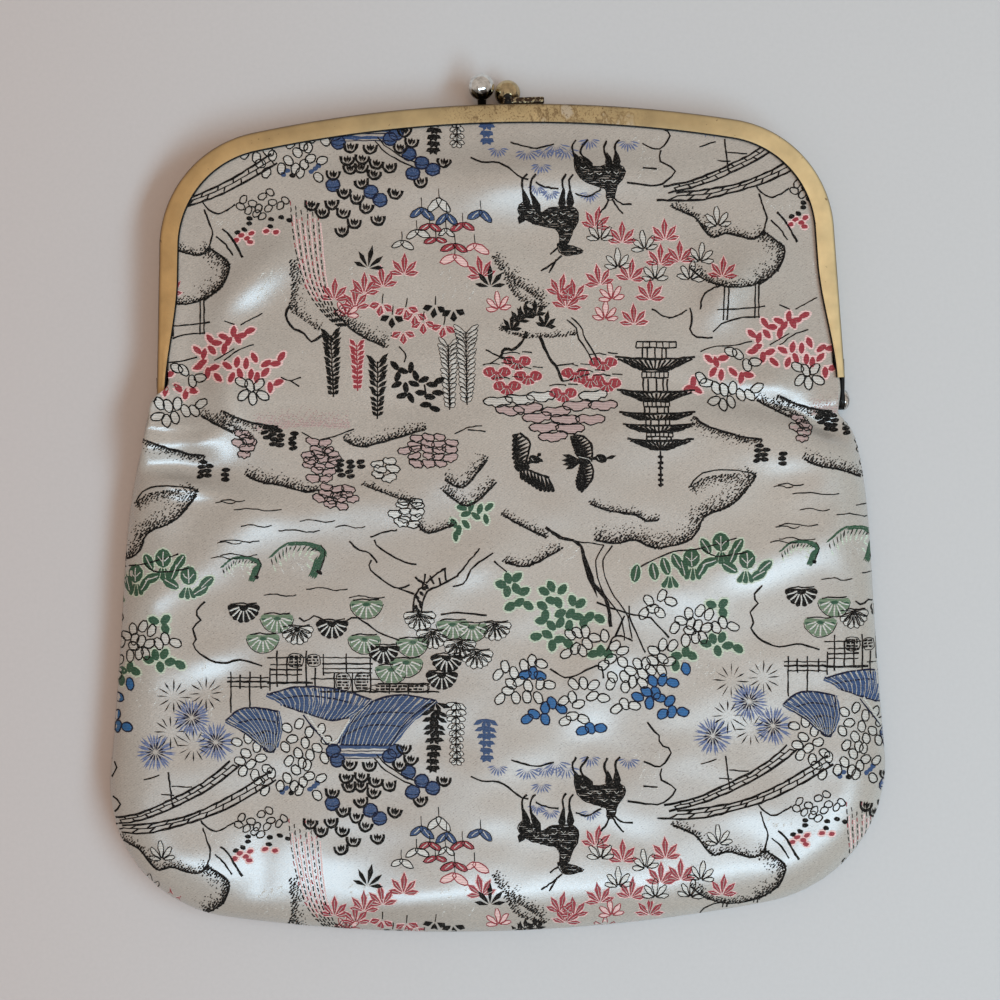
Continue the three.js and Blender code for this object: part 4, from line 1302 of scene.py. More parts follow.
def smooth_line(points):
    """Points along a stroke, close enough together to follow its bends and the cloth."""
    points = np.array(points, float)
    length = length_of(points)
    if len(points) > 3 and np.allclose(points[0], points[-1]):
        round_it = spline(np.concatenate([points[-2:-1], points, points[1:2]]), 6)
        return along(round_it[6:-6], np.linspace(0, 1, max(12, math.ceil(length / 4) + 1)))
    line = spline(points, 6) if len(points) > 2 else points
    step = 3.5 if len(points) > 2 and length < 45 else 6
    return along(line, np.linspace(0, 1, max(2, math.ceil(length / step) + 1)))


def on_plan(points, facing):
    """Chart points to places on the plan of the front, or round the fold onto the back."""
    cx, cy = points[:, 0], points[:, 1]
    if facing < 0:
        cy = 2 * CHART_FOLD - cy
    right, up = (cx - CHART_MIDDLE) * CHART_UNIT, (CHART_MIDDLE - cy) * CHART_UNIT
    c, s = math.cos(CAMERA_ROLL), math.sin(CAMERA_ROLL)
    return np.stack([VIEW_CENTRE[0] + right * c + up * s, VIEW_CENTRE[1] - right * s + up * c], 1)


RAY_START = 0.05  # height that the cloth is sought from, in metres
LENS_ROOT = 0.1  # depth of a small figure's underside in the cloth, in millimetres
LENS_STRAY, STRAND_STRAY = 0.35, 0.4  # in chart units
STRAND_WIDTHS = (0.7, 1.2)  # a stroke's uneven width, as shares of its own


def stray(count, most):
    """Small steps off the line, as the threads of the weave can only fall where they cross."""
    return np.array([[chance.uniform(-most, most), chance.uniform(-most, most)] for _ in range(count)])


def seeker(tree, facing):
    """A function that finds the place on one face of the cloth at a plan point, and its normal."""
    down = Vector((0, 0, -facing))

    def hit(p):
        found = tree.ray_cast(Vector((p[0], p[1], facing * RAY_START)), down)
        return found[:2] if found[0] is not None else None

    return hit


def pulled_in(hit, point, centre, core):
    """The last place on the cloth on the way from a figure's centre to a point beside the cloth."""
    near, far, last = 0.0, 1.0, core
    for _ in range(5):
        share = (near + far) / 2
        found = hit(centre + (point - centre) * share)
        near, far = (share, far) if found else (near, share)
        last = found or last
    return last


def lens(outline, facing, hit, edge, middle):
    """A small filled figure, raised in its middle, or nothing where it is mostly beside the cloth."""
    plan_points = on_plan(outline + stray(len(outline), LENS_STRAY), facing)
    hits = [hit(p) for p in plan_points]
    good = [i for i, h in enumerate(hits) if h]
    if len(good) < 0.5 * len(hits):
        return [], []
    centre = plan_points[good].mean(0)
    core = hit(centre)
    if core is None:
        return [], []
    hits = [h or pulled_in(hit, p, centre, core) for h, p in zip(hits, plan_points)]
    count = len(hits)
    points = [place + normal * edge for place, normal in hits]
    points += [core[0] + core[1] * middle, core[0] - core[1] * LENS_ROOT * MM]
    faces = []
    for i in range(count):
        j = (i + 1) % count
        faces += [(j, i, count), (i, j, count + 1)]
    return points, faces


def whole_runs(rows):
    """The stretches of two rows or more with every place found."""
    runs, run = [], []
    for row in rows + [[None]]:
        if all(row):
            run.append(row)
        elif run:
            runs.append(run)
            run = []
    return [run for run in runs if len(run) > 1]


def strand(line, width, facing, hit, edge, middle):
    """A stroke with a ridge along its middle, cut where it leaves the cloth."""
    line = smooth_line(line)
    heading = headings(line)
    aside = np.stack([-heading[:, 1], heading[:, 0]], 1) * width / 2
    aside *= np.array([[chance.uniform(*STRAND_WIDTHS)] for _ in line])
    line = line + stray(len(line), STRAND_STRAY)
    rows = [[hit(p) for p in on_plan(np.stack([m - a, m + a, m]), facing)] for m, a in zip(line, aside)]
    points, faces = [], []
    for run in whole_runs(rows):
        start = len(points)
        for left, right, ridge in run:
            points += [left[0] + left[1] * edge, right[0] + right[1] * edge]
            points.append(ridge[0] + ridge[1] * middle)
        for k in range(len(run) - 1):
            a = start + 3 * k
            faces += [(a + i, a + j, a + j + 3, a + i + 3) for i, j in ((0, 2), (2, 1), (1, 0))]
        last = start + 3 * (len(run) - 1)
        faces += [(start, start + 1, start + 2), (last, last + 2, last + 1)]
    return points, faces


def repeated(figure, facing):
    """A figure's points in each repeat of the weave that reaches a face of the bag."""
    x0, x1, y0, y1 = CHART_REACH
    found = []
    for i in (-1, 0, 1):
        for j in (-1, 0, 1, 2):
            moved = np.array(figure, float) + i * np.array(REPEATS[0]) + j * np.array(REPEATS[1])
            seen = moved if facing > 0 else [0, 2 * CHART_FOLD] + moved * [1, -1]
            low, high = seen.min(0), seen.max(0)
            if high[0] >= x0 and low[0] <= x1 and high[1] >= y0 and low[1] <= y1:
                found.append(moved)
    return found


def lay_thread(thread, facing, tree):
    """All the figures of one colour on one face of the bag, as one mesh."""
    edge, middle = (height * MM for height in THREADS[thread][1:])
    laid = facing, seeker(tree, facing), edge, middle
    shells = [lens(place, *laid) for outline in lenses[thread] for place in repeated(outline, facing)]
    for line, width in ropes[thread]:
        shells += [strand(place, width, *laid) for place in repeated(line, facing)]
    points, faces = [], []
    for shell_points, shell_faces in shells:
        faces += [[i + len(points) for i in face] for face in shell_faces]
        points += shell_points
    return points, faces


# Sizes of the metal, in millimetres, as in the part
HALF_GAP = 0.3
HALF_DEPTH = 4.85
EDGE_ROUND = 1.3
LIP_ROUND = 0.3
CROWN = 0.12
BAND, BAND_END, BAND_TAPER = 5.2, 2.4, (29.5, 60.0)
EAR_ARM, EAR_RADIUS, EAR_GAP = 10.5, 2.6, 0.3
RIVET_RADIUS, RIVET_CLEARANCE = 0.9, 0.3
DOME_RADIUS, DOME_HEIGHT = 2.7, 1.7
TAIL_RADIUS, TAIL_HEIGHT = 1.5, 0.6
BALL_RADIUS, POST_RADIUS, SEAT_GAP = 3.4, 1.15, 0.15
POST_FLARE, POST_STOP = 0.3, 0.35  # widening of the foot, and share of the way to the ball left out
BACK_BALL = {"ball": (-2.9, 108.4, 6.2), "foot_z": 2.5}
FRONT_BALL = {"ball": (3.9, 107.2, 3.6), "foot_z": 7.6}
BAR = {"left": 2.6, "right": 13.4, "height": 1.6, "depth": 2.0, "round": 0.4}
BAR_END = [(0, 0.7), (0.12, 0.9), (0.35, 1)]  # from an end of the bar inwards: place, share of its section
TAIL_CHAMFER = 0.25
INNER_ROUND = [(0.25, 0), (0.07, 0.07), (0, 0.25)]
PAINTED_SHADOW_FACES = (10, 2)  # the faces of a section between these, counted from its last one, are painted dark as the shadow along the lip
EYE_SIDES, POST_SIDES, RIVET_SIDES, BALL_SIDES = 24, 24, 40, 56
SHARP_EDGE = math.radians(38)


def tube_faces(rings, sides, capped=True):
    """Faces between closed rings of points, and flat ends."""
    r, i = np.meshgrid(np.arange(rings - 1), np.arange(sides), indexing="ij")
    a, b = (r * sides + i).ravel(), (r * sides + (i + 1) % sides).ravel()
    faces = np.stack([a, b, b + sides, a + sides], 1).tolist()
    if capped:
        faces += [list(range(sides))[::-1], list(range((rings - 1) * sides, rings * sides))]
    return faces


def full_turn(sides):
    """Angles of an even ring."""
    return np.linspace(0, 2 * math.pi, sides, endpoint=False)


def quarter(centre, radius, start, steps):
    """A quarter turn in a section, from an angle given in quarter turns."""
    a = (start + np.linspace(0, -1, steps + 1)) * math.pi / 2
    return [(centre[0] + radius * math.cos(t), centre[1] + radius * math.sin(t)) for t in a]


def bow_point(centre, radius, angle):
    return centre[0] + radius * math.cos(angle), centre[1] + radius * math.sin(angle)


def frame_stations():
    """Places along the frame's outside, from one leg's end to the other's: x, y, outward angle."""
    leg_top = frame_centre[1] + FRAME_CORNER_RADIUS * math.sin(frame_side)
    leg = [(leg_x(y), y, frame_side) for y in np.linspace(LEG_END_Y, leg_top, 26)]
    corner_turn = np.linspace(frame_side, frame_bow, 40)[1:]
    top_turn = np.linspace(frame_bow, math.pi / 2, 60)[1:-1]
    corner = [(*bow_point(frame_centre, FRAME_CORNER_RADIUS, a), a) for a in corner_turn]
    top = [(*bow_point((0, TOP_BOW_Y), TOP_BOW_RADIUS, a), a) for a in top_turn]
    right = leg + corner + top
    return [(-x, y, math.pi - a) for x, y, a in right] + [(0, FRAME_TOP, math.pi / 2)] + right[::-1]


def channel_section(band, swell):
    """Section of a half's channel: depth from its outside, and distance from the other half's face."""
    flat = band - LIP_ROUND - EDGE_ROUND
    crown = [(d, HALF_DEPTH + swell * math.sin(math.pi * (d - EDGE_ROUND) / flat))
             for d in np.linspace(EDGE_ROUND, band - LIP_ROUND, 7)[1:-1]]
    return [
        *INNER_ROUND, *quarter((EDGE_ROUND, HALF_DEPTH - EDGE_ROUND), EDGE_ROUND, 2, 8), *crown,
        *quarter((band - LIP_ROUND, HALF_DEPTH - LIP_ROUND), LIP_ROUND, 1, 4),
        (band, HALF_DEPTH - SHEET), (SHEET, HALF_DEPTH - SHEET), (SHEET, SHEET), (band, SHEET), (band, 0),
    ]


def frame_channel(facing, gilt, dark):
    """The bent channel of a frame half, from leg to leg, with a rounded outer edge and a round lip painted
    dark as the shadow along the frame's inner edge.
    """
    swell = CROWN if facing > 0 else 0.0
    stations = frame_stations()
    points = []
    for x, y, a in stations:
        section = channel_section(BAND_END + (BAND - BAND_END) * float(smooth(y, *BAND_TAPER)), swell)
        for depth, out in section:
            z = FRAME_DEPTH / 2 + facing * (HALF_GAP / 2 + out)
            points.append((x - math.cos(a) * depth, y - math.sin(a) * depth, z))
    faces = tube_faces(len(stations), len(section))
    # the lip faces take the dark material: painted shadow
    first, last = len(section) - PAINTED_SHADOW_FACES[0], len(section) - PAINTED_SHADOW_FACES[1]
    return points, faces, [dark if first <= i % len(section) < last else gilt for i in range(len(faces))]


def hinge_ear(side, facing):
    """A flat arm from a leg's end to a round eye about the hinge."""
    outer = leg_x(LEG_END_Y) - (0 if facing > 0 else SHEET + EAR_GAP)
    low, high, end = HALF_GAP / 2 + SHEET / 2, HALF_DEPTH - EDGE_ROUND, LEG_END_Y - HINGE_Y
    turn = np.linspace(0, -1.5 * math.pi, 28)
    head = [(EAR_RADIUS * math.cos(t), EAR_RADIUS * math.sin(t)) for t in turn]
    outline = [(EAR_ARM, low), (end, low), *head, (end, high), (EAR_ARM, high)]
    hole = RIVET_RADIUS + RIVET_CLEARANCE
    loops = [outline, [(hole * math.cos(t), hole * math.sin(t)) for t in full_turn(EYE_SIDES)]]
    flat = [p for loop in loops for p in loop]
    count = len(flat)
    faces = []
    for tri in tessellate_polygon([[Vector((u, w, 0)) for u, w in loop] for loop in loops]):
        faces += [list(tri), [i + count for i in reversed(tri)]]
    start = 0
    for loop in loops:
        for i in range(len(loop)):
            a, b = start + i, start + (i + 1) % len(loop)
            faces.append([a, b, b + count, a + count])
        start += len(loop)
    points = [(side * x, HINGE_Y + u, FRAME_DEPTH / 2 + facing * w)
              for x in (outer, outer - SHEET) for u, w in flat]
    return points, faces


def lathe(profile, sides):
    """A turned solid about the X axis: the profile is (place, radius), closed at both ends on the axis."""
    points = [(profile[0][0], 0, 0)]
    for x, r in profile[1:-1]:
        points += [(x, r * math.cos(t), r * math.sin(t)) for t in full_turn(sides)]
    points.append((profile[-1][0], 0, 0))
    faces = [[i + 1 for i in f] for f in tube_faces(len(profile) - 2, sides, False)]
    last = len(points) - 1
    for i in range(sides):
        j = (i + 1) % sides
        faces += [[0, 1 + j, 1 + i], [last, last - sides + i, last - sides + j]]
    return points, faces


def hinge_rivet(side):
    """A rivet through both ears, with a domed head and a flat tail."""
    outer = leg_x(LEG_END_Y)
    base, tail = outer + RIVET_CLEARANCE / 2, outer - 2 * SHEET - EAR_GAP - RIVET_CLEARANCE / 2
    end = tail - TAIL_HEIGHT
    turn = np.linspace(0, math.pi / 2, 14)[:-1]
    dome = [(base + DOME_HEIGHT * math.sin(t), DOME_RADIUS * math.cos(t)) for t in turn]
    profile = [
        (end, 0), (end, TAIL_RADIUS - TAIL_CHAMFER), (end + TAIL_CHAMFER, TAIL_RADIUS), (tail, TAIL_RADIUS),
        (tail, RIVET_RADIUS), (base, RIVET_RADIUS), *dome, (base + DOME_HEIGHT, 0),
    ]
    points, faces = lathe(profile, RIVET_SIDES)
    return [(side * x, HINGE_Y + y, FRAME_DEPTH / 2 + z) for x, y, z in points], faces


def clasp_ball(ball, foot_z):
    """The ball and the post that leans from its foot to the ball, as two shells."""
    centre = np.array(ball)
    foot = np.array([centre[0], FRAME_TOP + SEAT_GAP, foot_z])
    knee = foot + [0, POST_RADIUS, 0]
    route = spline([foot, knee, centre - (centre - knee) * POST_STOP], 10)
    points = []
    for i, place in enumerate(route):
        way = Vector(route[min(i + 1, len(route) - 1)] - route[max(i - 1, 0)]).normalized()
        one = way.cross(Vector((1, 0, 0))).normalized()
        two = way.cross(one)
        radius = POST_RADIUS * (1 + POST_FLARE * math.exp(-i / 2))
        points += [tuple(Vector(place) + radius * (math.cos(t) * one + math.sin(t) * two))
                   for t in full_turn(POST_SIDES)]
    post = points, tube_faces(len(route), POST_SIDES)
    turn = np.linspace(-math.pi / 2, math.pi / 2, 34)
    profile = [(BALL_RADIUS * math.sin(t), BALL_RADIUS * abs(math.cos(t))) for t in turn]
    round_points, round_faces = lathe(profile, BALL_SIDES)
    return (np.array(round_points) + centre, round_faces), post


def clasp_bar():
    """The flat bar along the top of the frame, with rounded edges and ends."""
    half_y, half_z, r = BAR["height"] / 2, BAR["depth"] / 2, BAR["round"]
    middle = np.array([FRAME_TOP + SEAT_GAP + half_y, FRONT_BALL["foot_z"]])
    ring = []
    for k, (sy, sz) in enumerate(((-1, 1), (1, 1), (1, -1), (-1, -1))):
        ring += quarter((sy * (half_y - r), sz * (half_z - r)), r, 2 - k, 5)
    ring = np.array(ring)
    places = [(BAR["left"] + d, share) for d, share in BAR_END]
    places += [(BAR["right"] - d, share) for d, share in reversed(BAR_END)]
    points = [(x, *(middle + share * p)) for x, share in places for p in ring]
    return points, tube_faces(len(places), len(ring))


def metal_piece(name, shells, node):
    """One smooth piece from closed shells, in place of a node of the part. A shell has one material, or a
    list with one for each face."""
    points, faces, kinds, materials = [], [], [], []
    for shell_points, shell_faces, shell_material in shells:
        one_each = isinstance(shell_material, list)
        face_materials = shell_material if one_each else [shell_material] * len(shell_faces)
        materials += [m for m in dict.fromkeys(face_materials) if m not in materials]
        faces += [[i + len(points) for i in face] for face in shell_faces]
        kinds += [materials.index(m) for m in face_materials]
        points += [(MIDDLE_X + x * MM, BASE_Y + y * MM, z * MM) for x, y, z in shell_points]
    piece = new_object(name, points, faces, materials[0])
    for material in materials[1:]:
        piece.data.materials.append(material)
    piece.data.polygons.foreach_set("material_index", kinds)
    skin = bmesh.new()
    skin.from_mesh(piece.data)
    bmesh.ops.recalc_face_normals(skin, faces=skin.faces)
    skin.to_mesh(piece.data)
    skin.free()
    piece.data.set_sharp_from_angle(angle=SHARP_EDGE)
    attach(piece, "root")
    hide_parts(node)


# Materials
def new_material(name):
    material = bpy.data.materials.new(name)
    material.use_nodes = True
    tree = material.node_tree
    return material, tree, tree.nodes["Principled BSDF"]


def set_inputs(tree, node, links, values):
    """Links some inputs of a node and gives others a plain value."""
    for name, source in links.items():
        tree.links.new(source, node.inputs[name])
    for name, value in values.items():
        node.inputs[name].default_value = value
    return node


def new_node(tree, kind, links, values):
    return set_inputs(tree, tree.nodes.new(kind), links, values)


def ramp(tree, source, stops):
    """Colours or greys along a value: stops are (place, colour)."""
    node = tree.nodes.new("ShaderNodeValToRGB")
    while len(node.color_ramp.elements) < len(stops):
        node.color_ramp.elements.new(0.5)
    for element, (place, colour) in zip(node.color_ramp.elements, stops):
        element.position = place
        element.color = (*colour, 1) if len(colour) == 3 else colour
    tree.links.new(source, node.inputs["Fac"])
    return node.outputs["Color"]


def noise(tree, place, scale, detail=3.0, stretch=(1, 1, 1), rough=0.5):
    mapped = new_node(tree, "ShaderNodeMapping", {"Vector": place}, {"Scale": stretch})
    values = {"Scale": scale, "Detail": detail, "Roughness": rough}
    return new_node(tree, "ShaderNodeTexNoise", {"Vector": mapped.outputs[0]}, values).outputs["Fac"]


def waves(tree, place, period, turn=0.0):
    """Even bands across a direction in the plan."""
    mapped = new_node(tree, "ShaderNodeMapping", {"Vector": place}, {"Rotation": (0, 0, turn)})
    scale = 2 * math.pi / (20 * period)
    node = new_node(tree, "ShaderNodeTexWave", {"Vector": mapped.outputs[0]}, {"Scale": scale})
    node.bands_direction = "Y"
    return node.outputs["Fac"]


def mixed(tree, a, b, share, kind="MIX"):
    """Two colours mixed; each input is a socket or a plain colour or number."""
    node = tree.nodes.new("ShaderNodeMix")
    node.data_type = "RGBA"
    node.blend_type = kind
    for socket, value in ((node.inputs[0], share), (node.inputs[6], a), (node.inputs[7], b)):
        if hasattr(value, "is_output"):
            tree.links.new(value, socket)
        else:
            socket.default_value = (*value, 1) if isinstance(value, tuple) else value
    return node.outputs[2]


def product(tree, a, b):
    return mixed(tree, a, b, 1.0, "MULTIPLY")


def bumped(tree, shader, height, strength, distance):
    node = new_node(tree, "ShaderNodeBump", {"Height": height}, {"Strength": strength, "Distance": distance})
    tree.links.new(node.outputs["Normal"], shader.inputs["Normal"])


def object_place(tree):
    return tree.nodes.new("ShaderNodeTexCoord").outputs["Object"]


def split(tree, vector):
    return new_node(tree, "ShaderNodeSeparateXYZ", {0: vector}, {}).outputs


def spread(tree, value, low, high):
    """A value brought from its range to 0..1."""
    limits = {"From Min": low, "From Max": high}
    return new_node(tree, "ShaderNodeMapRange", {"Value": value}, limits).outputs[0]


def face_normal(tree):
    return tree.nodes.new("ShaderNodeNewGeometry").outputs["Normal"]


def levelness(tree):
    """How level a face lies: 1 is level, 0 is upright."""
    node = new_node(tree, "ShaderNodeMath", {0: split(tree, face_normal(tree))[2]}, {})
    node.operation = "ABSOLUTE"
    return node.outputs[0]


def grey(value):
    return (value, value, value)


def satin_material():
    """Silver satin: fine floats of thread over a faint twill."""
    material, tree, shader = new_material("silver_satin")
    place = object_place(tree)
    floats = noise(tree, place, 1500, 2.0, (1, 3.0, 1))
    fine = noise(tree, place, 5200, 1.0)
    broad = noise(tree, place, 22, 3.0)
    twill = waves(tree, place, 0.6 * MM, math.radians(-35))
    thread = mixed(tree, mixed(tree, floats, fine, 0.5), twill, 0.05)
    tone = ramp(tree, broad, [(0.3, (0.290, 0.260, 0.224)), (0.7, (0.346, 0.322, 0.285))])
    weave = ramp(tree, thread, [(0.32, grey(0.66)), (0.66, grey(1.2))])
    roughness = ramp(tree, thread, [(0.3, grey(0.26)), (0.75, grey(0.36))])
    links = {"Base Color": product(tree, tone, weave), "Roughness": roughness}
    set_inputs(tree, shader, links, {"IOR": 2.3, "Specular IOR Level": 0.5, "Sheen Weight": 0.1})
    bumped(tree, shader, thread, 0.25, 0.05 * MM)
    return material


def thread_material(name, colour):
    """Coloured thread, crossed by a few pale threads that bind it. Silver and glint are partly metal."""
    material, tree, shader = new_material(f"{name}_thread")
    place = object_place(tree)
    weft = waves(tree, place, 0.42 * MM)
    grain = noise(tree, place, 1600, 2.0, (1, 2.0, 1))
    thread = mixed(tree, weft, grain, 0.5)
    dark = tuple(0.62 * c for c in colour)
    light = tuple(min(1, 1.2 * c + 0.003) for c in colour)
    crossing = noise(tree, place, 2700, 1.5, (1, 1.6, 1))
    binding = ramp(tree, crossing, [(0.58, grey(0)), (0.66, grey(0.14))])
    tone = ramp(tree, thread, [(0.25, dark), (0.7, light)])
    set_inputs(tree, shader, {"Base Color": mixed(tree, tone, (0.42, 0.39, 0.35), binding)}, {
        "Roughness": 0.5,
        "Metallic": 0.4 if name in ("silver", "glint") else 0.0,
        "Specular IOR Level": 0.05 if max(colour) < 0.05 else 0.3,
    })
    bumped(tree, shader, thread, 0.3, 0.1 * MM)
    return material


TABLE_LIGHT_REACH = (-0.14, 0.14)  # x, along which painted light changes the table's tone, in metres
# Stretches of the frame, in metres from its middle
GILT_LIGHT_REACH = (-0.092, 0.092)  # x, along which painted light takes the gilt from shaded and deep to lit and pale
WORN_REACH = (-0.012, 0.046)  # x, where the top is specked and rubbed
WORN_ABOVE = (0.082, 0.088)  # y, where the wear sets in


def gilt_material():
    """Gilt with painted light: painted deep and dark on the left and pale on the right, with painted shade on
    its steep edges; specked and rubbed bare along the top.
    """
    material, tree, shader = new_material("worn_gilt_with_painted_light")
    place = object_place(tree)
    x, y = split(tree, place)[:2]
    # painted light: the gilt is painted darker and deeper on the left and paler on the right, where the
    # room's light falls
    plain = ramp(tree, spread(tree, x, *GILT_LIGHT_REACH), [
        (0.0, (0.49, 0.285, 0.11)), (0.12, (0.46, 0.30, 0.13)), (0.35, (0.44, 0.33, 0.17)),
        (0.8, (0.45, 0.335, 0.17)), (0.96, (0.72, 0.56, 0.30)),
    ])
    mottle = ramp(tree, noise(tree, place, 170, 4.0), [(0.3, grey(0.84)), (0.7, grey(1.1))])
    colour = product(tree, plain, mottle)
    along_top = ramp(tree, spread(tree, x, *WORN_REACH), [
        (0, grey(0)), (0.2, grey(0.8)), (0.8, grey(0.6)), (1, grey(0)),
    ])
    worn = mixed(tree, grey(0), along_top, spread(tree, y, *WORN_ABOVE))
    wear = noise(tree, place, 260, 4.0, (1.3, 0.7, 1))
    rim = ramp(tree, wear, [(0.52, grey(0)), (0.57, grey(1)), (0.61, grey(0.2)), (0.66, grey(0))])
    rubbed = ramp(tree, wear, [(0.60, grey(0)), (0.66, grey(0.7))])
    colour = mixed(tree, colour, (0.13, 0.075, 0.03), product(tree, rim, worn))
    colour = mixed(tree, colour, (0.50, 0.47, 0.42), product(tree, rubbed, worn))
    few = ramp(tree, noise(tree, place, 700, 3.0), [(0.69, grey(0)), (0.73, grey(0.8))])
    many = ramp(tree, noise(tree, place, 1900, 4.0, (1, 1, 1), 0.65), [(0.545, grey(0)), (0.605, grey(0.9))])
    colour = mixed(tree, colour, (0.10, 0.055, 0.022), few)
    colour = mixed(tree, colour, (0.12, 0.065, 0.025), product(tree, many, worn))
    # painted shade: faces that turn away from level, on the rounded edges, are painted dark brown
    edge = ramp(tree, levelness(tree), [(0.05, grey(0.4)), (0.5, grey(0.93)), (0.94, grey(0))])
    colour = mixed(tree, colour, (0.05, 0.03, 0.015), edge)
    roughness = ramp(tree, noise(tree, place, 400, 3.0), [(0.3, grey(0.3)), (0.7, grey(0.44))])
    set_inputs(tree, shader, {"Base Color": colour, "Roughness": roughness}, {"Metallic": 0.55})
    bumped(tree, shader, noise(tree, place, 900, 3.0), 0.12, 0.05 * MM)
    return material


def polished_material(name, bright, dark, share, roughness):
    """Polished metal with a painted reflection of a room: bright and dark patches set by the way each face
    turns, painted dark on faces turned towards -Y, over a stain.
    """
    material, tree, shader = new_material(name)
    place = object_place(tree)
    normal = face_normal(tree)
    # painted reflection: colour patches follow the direction of each face
    room = noise(tree, normal, 2.3, 2.0, (1.6, 0.8, 1))
    # painted shade on faces turned towards -Y
    below = spread(tree, split(tree, normal)[1], -1.0, 0.3)
    light = mixed(tree, room, below, share)
    between = tuple((2 * d + b) / 3 for d, b in zip(dark, bright))
    colour = ramp(tree, light, [(0.36, dark), (0.46, between), (0.54, bright)])
    stain = ramp(tree, noise(tree, place, 800, 4.0), [(0.35, grey(0.7)), (0.6, grey(1.05))])
    values = {"Metallic": 1, "Roughness": roughness}
    set_inputs(tree, shader, {"Base Color": product(tree, colour, stain)}, values)
    return material


def tarnished_material(name, dark, bare, rubbed_from):
    """Blackened metal, rubbed bare in spots."""
    material, tree, shader = new_material(name)
    place = object_place(tree)
    spots = ramp(tree, noise(tree, place, 1300, 3.0), [(rubbed_from, dark), (rubbed_from + 0.08, bare)])
    roughness = ramp(tree, noise(tree, place, 700, 3.0), [(0.3, grey(0.3)), (0.7, grey(0.55))])
    set_inputs(tree, shader, {"Base Color": spots, "Roughness": roughness}, {"Metallic": 0.8})
    bumped(tree, shader, noise(tree, place, 1500, 3.0), 0.2, 0.05 * MM)
    return material


def table_material():
    """A pale matt table top, painted warmer and a little darker on the left and cooler on the right as
    painted light.
    """
    material, tree, shader = new_material("pale_table")
    place = object_place(tree)
    # painted light: warm and darker on the left, cool on the right
    tone = ramp(tree, spread(tree, split(tree, place)[0], *TABLE_LIGHT_REACH), [
        (0.0, (0.448, 0.416, 0.407)), (0.5, (0.464, 0.468, 0.474)), (1.0, (0.462, 0.464, 0.466)),
    ])
    paper = ramp(tree, noise(tree, place, 900, 3.0), [(0.3, grey(0.98)), (0.7, grey(1.01))])
    set_inputs(tree, shader, {"Base Color": product(tree, tone, paper)}, {"Roughness": 0.7})
    return material


satin = satin_material()
gilt = gilt_material()
chrome = polished_material("stained_nickel_painted_reflection", (0.86, 0.86, 0.83), (0.03, 0.025, 0.025), 0.5, 0.1)
rivet_chrome = polished_material("stained_rivet_nickel_painted_reflection", (0.86, 0.86, 0.83), (0.05, 0.045, 0.04), 0.1, 0.14)
gilt_with_painted_reflection = polished_material("stained_gilt_ball_painted_reflection", (0.62, 0.49, 0.28), (0.05, 0.045, 0.04), 0.3, 0.2)
# dark metal of the posts, also put on the frame's lip and the hinge ears as painted shade
dark_steel_and_shade = tarnished_material("blackened_steel_and_painted_shade", (0.012, 0.011, 0.01), (0.16, 0.14, 0.11), 0.66)
brown_bar = tarnished_material("tarnished_bar", (0.05, 0.03, 0.018), (0.42, 0.34, 0.2), 0.52)

for side, facing in (("front", 1), ("back", -1)):
    # the hinge ears are painted black as the shade in the hinge
    ears = [(*hinge_ear(end, facing), dark_steel_and_shade) for end in (-1, 1)]
    shells = [frame_channel(facing, gilt, dark_steel_and_shade), *ears]
    metal_piece(f"{side}_frame_band", shells, f"{side}_frame")
for side, end in (("left", -1), ("right", 1)):
    metal_piece(f"{side}_rivet", [(*hinge_rivet(end), rivet_chrome)], f"{side}_hinge_rivet")
ball, post = clasp_ball(**BACK_BALL)
metal_piece("back_clasp", [(*ball, chrome), (*post, dark_steel_and_shade)], "back_clasp_ball")
ball, post = clasp_ball(**FRONT_BALL)
shells = [(*ball, gilt_with_painted_reflection), (*post, dark_steel_and_shade), (*clasp_bar(), brown_bar)]
metal_piece("front_clasp", shells, "front_clasp_ball")

chart()
thread_materials = {thread: thread_material(thread, row[0]) for thread, row in THREADS.items()}
ROWS, COLUMNS = 190, 150
SIDES = [  # name, facing, the node that the cloth is in place of, the frame half that grips it
    ("front", 1, "front_panel", "front_frame"), ("back", -1, "back_panel", "back_frame"),
]
for side, facing, stood_for, grip in SIDES:
    points, faces = cloth_points(ROWS, COLUMNS, facing), grid_faces(ROWS, COLUMNS, facing)
    cloth = new_object(f"{side}_cloth", points, faces, satin)
    tree = BVHTree.FromPolygons(points.tolist(), faces.tolist())
    solid = cloth.modifiers.new("cloth_thickness", "SOLIDIFY")
    solid.thickness = CLOTH * MM
    solid.offset = -1
    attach(cloth, "root")
    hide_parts(stood_for)
    for thread in THREADS:
        figures = lay_thread(thread, facing, tree)
        piece = new_object(f"{side}_{thread}_thread", *figures, thread_materials[thread], False)
        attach(piece, "root")

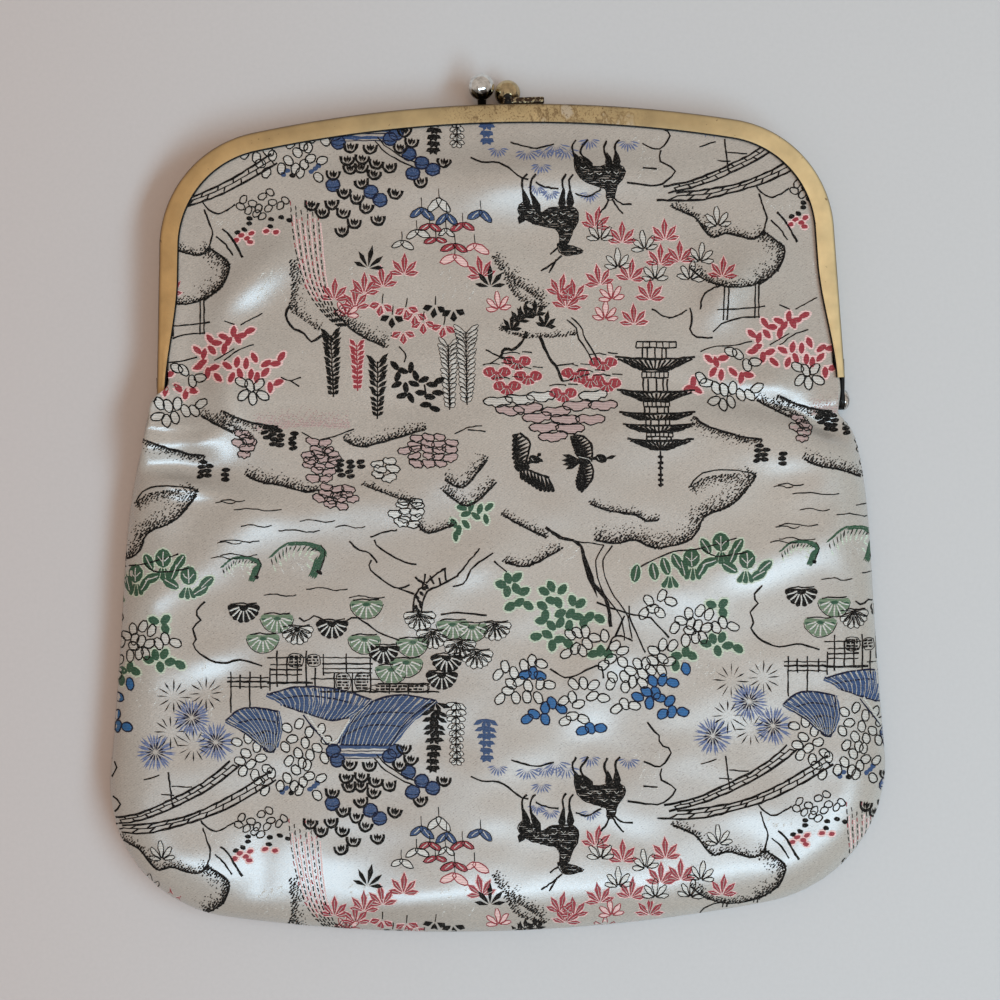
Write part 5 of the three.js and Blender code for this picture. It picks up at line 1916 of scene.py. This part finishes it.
# Table, camera and light
TABLE_HALF = 3.0
SENSOR = 36.0
ROOM_COLOUR, ROOM_STRENGTH = (0.83, 0.735, 0.665, 1), 0.58
LIGHTS = [  # name, place, size, power in watts, colour, the kind of light that it leaves out
    ("window", (1.025, -0.478, 1.131), (1.8, 0.4), 29.2, (0.58, 0.84, 1), "glossy"),
    ("lamp", (-0.1, 0.1, 2.6), (1.6, 1.6), 21, (1, 0.587, 0.355), "glossy"),
    ("skylight", (0.16, -1.05, 2.0), (2.4, 0.55), 28, (0.60, 0.82, 1), "diffuse"),
]
corners = [(x * TABLE_HALF, y * TABLE_HALF, 0) for x, y in ((-1, -1), (1, -1), (1, 1), (-1, 1))]
floor = new_object("table", corners, [(0, 1, 2, 3)], table_material(), False)

camera_data = bpy.data.cameras.new("camera")
camera = bpy.data.objects.new("camera", camera_data)
bpy.context.scene.collection.objects.link(camera)
camera.location = (VIEW_CENTRE[0], VIEW_CENTRE[1], CAMERA_HEIGHT)
camera.rotation_euler = (0, 0, -CAMERA_ROLL)
camera_data.sensor_width = SENSOR
camera_data.lens = SENSOR * (CAMERA_HEIGHT - FRAME_DEPTH * MM) / (PHOTO_SIDE * CHART_UNIT)
bpy.context.scene.camera = camera

world = bpy.data.worlds.new("room")
world.use_nodes = True
room_light = world.node_tree.nodes["Background"]
room_light.inputs["Color"].default_value = ROOM_COLOUR
room_light.inputs["Strength"].default_value = ROOM_STRENGTH
bpy.context.scene.world = world


def area_light(name, place, size, power, colour):
    """A rectangle of light that faces the middle of the bag."""
    data = bpy.data.lights.new(name, "AREA")
    data.shape = "RECTANGLE"
    data.size, data.size_y = size
    data.energy = power
    data.color = colour
    light = bpy.data.objects.new(name, data)
    bpy.context.scene.collection.objects.link(light)
    light.location = place
    light.rotation_euler = (-Vector(place)).to_track_quat("-Z", "Y").to_euler()
    return light


for name, place, size, power, colour, left_out in LIGHTS:
    setattr(area_light(name, place, size, power, colour), f"visible_{left_out}", False)
bpy.context.scene.view_settings.view_transform = "Standard"
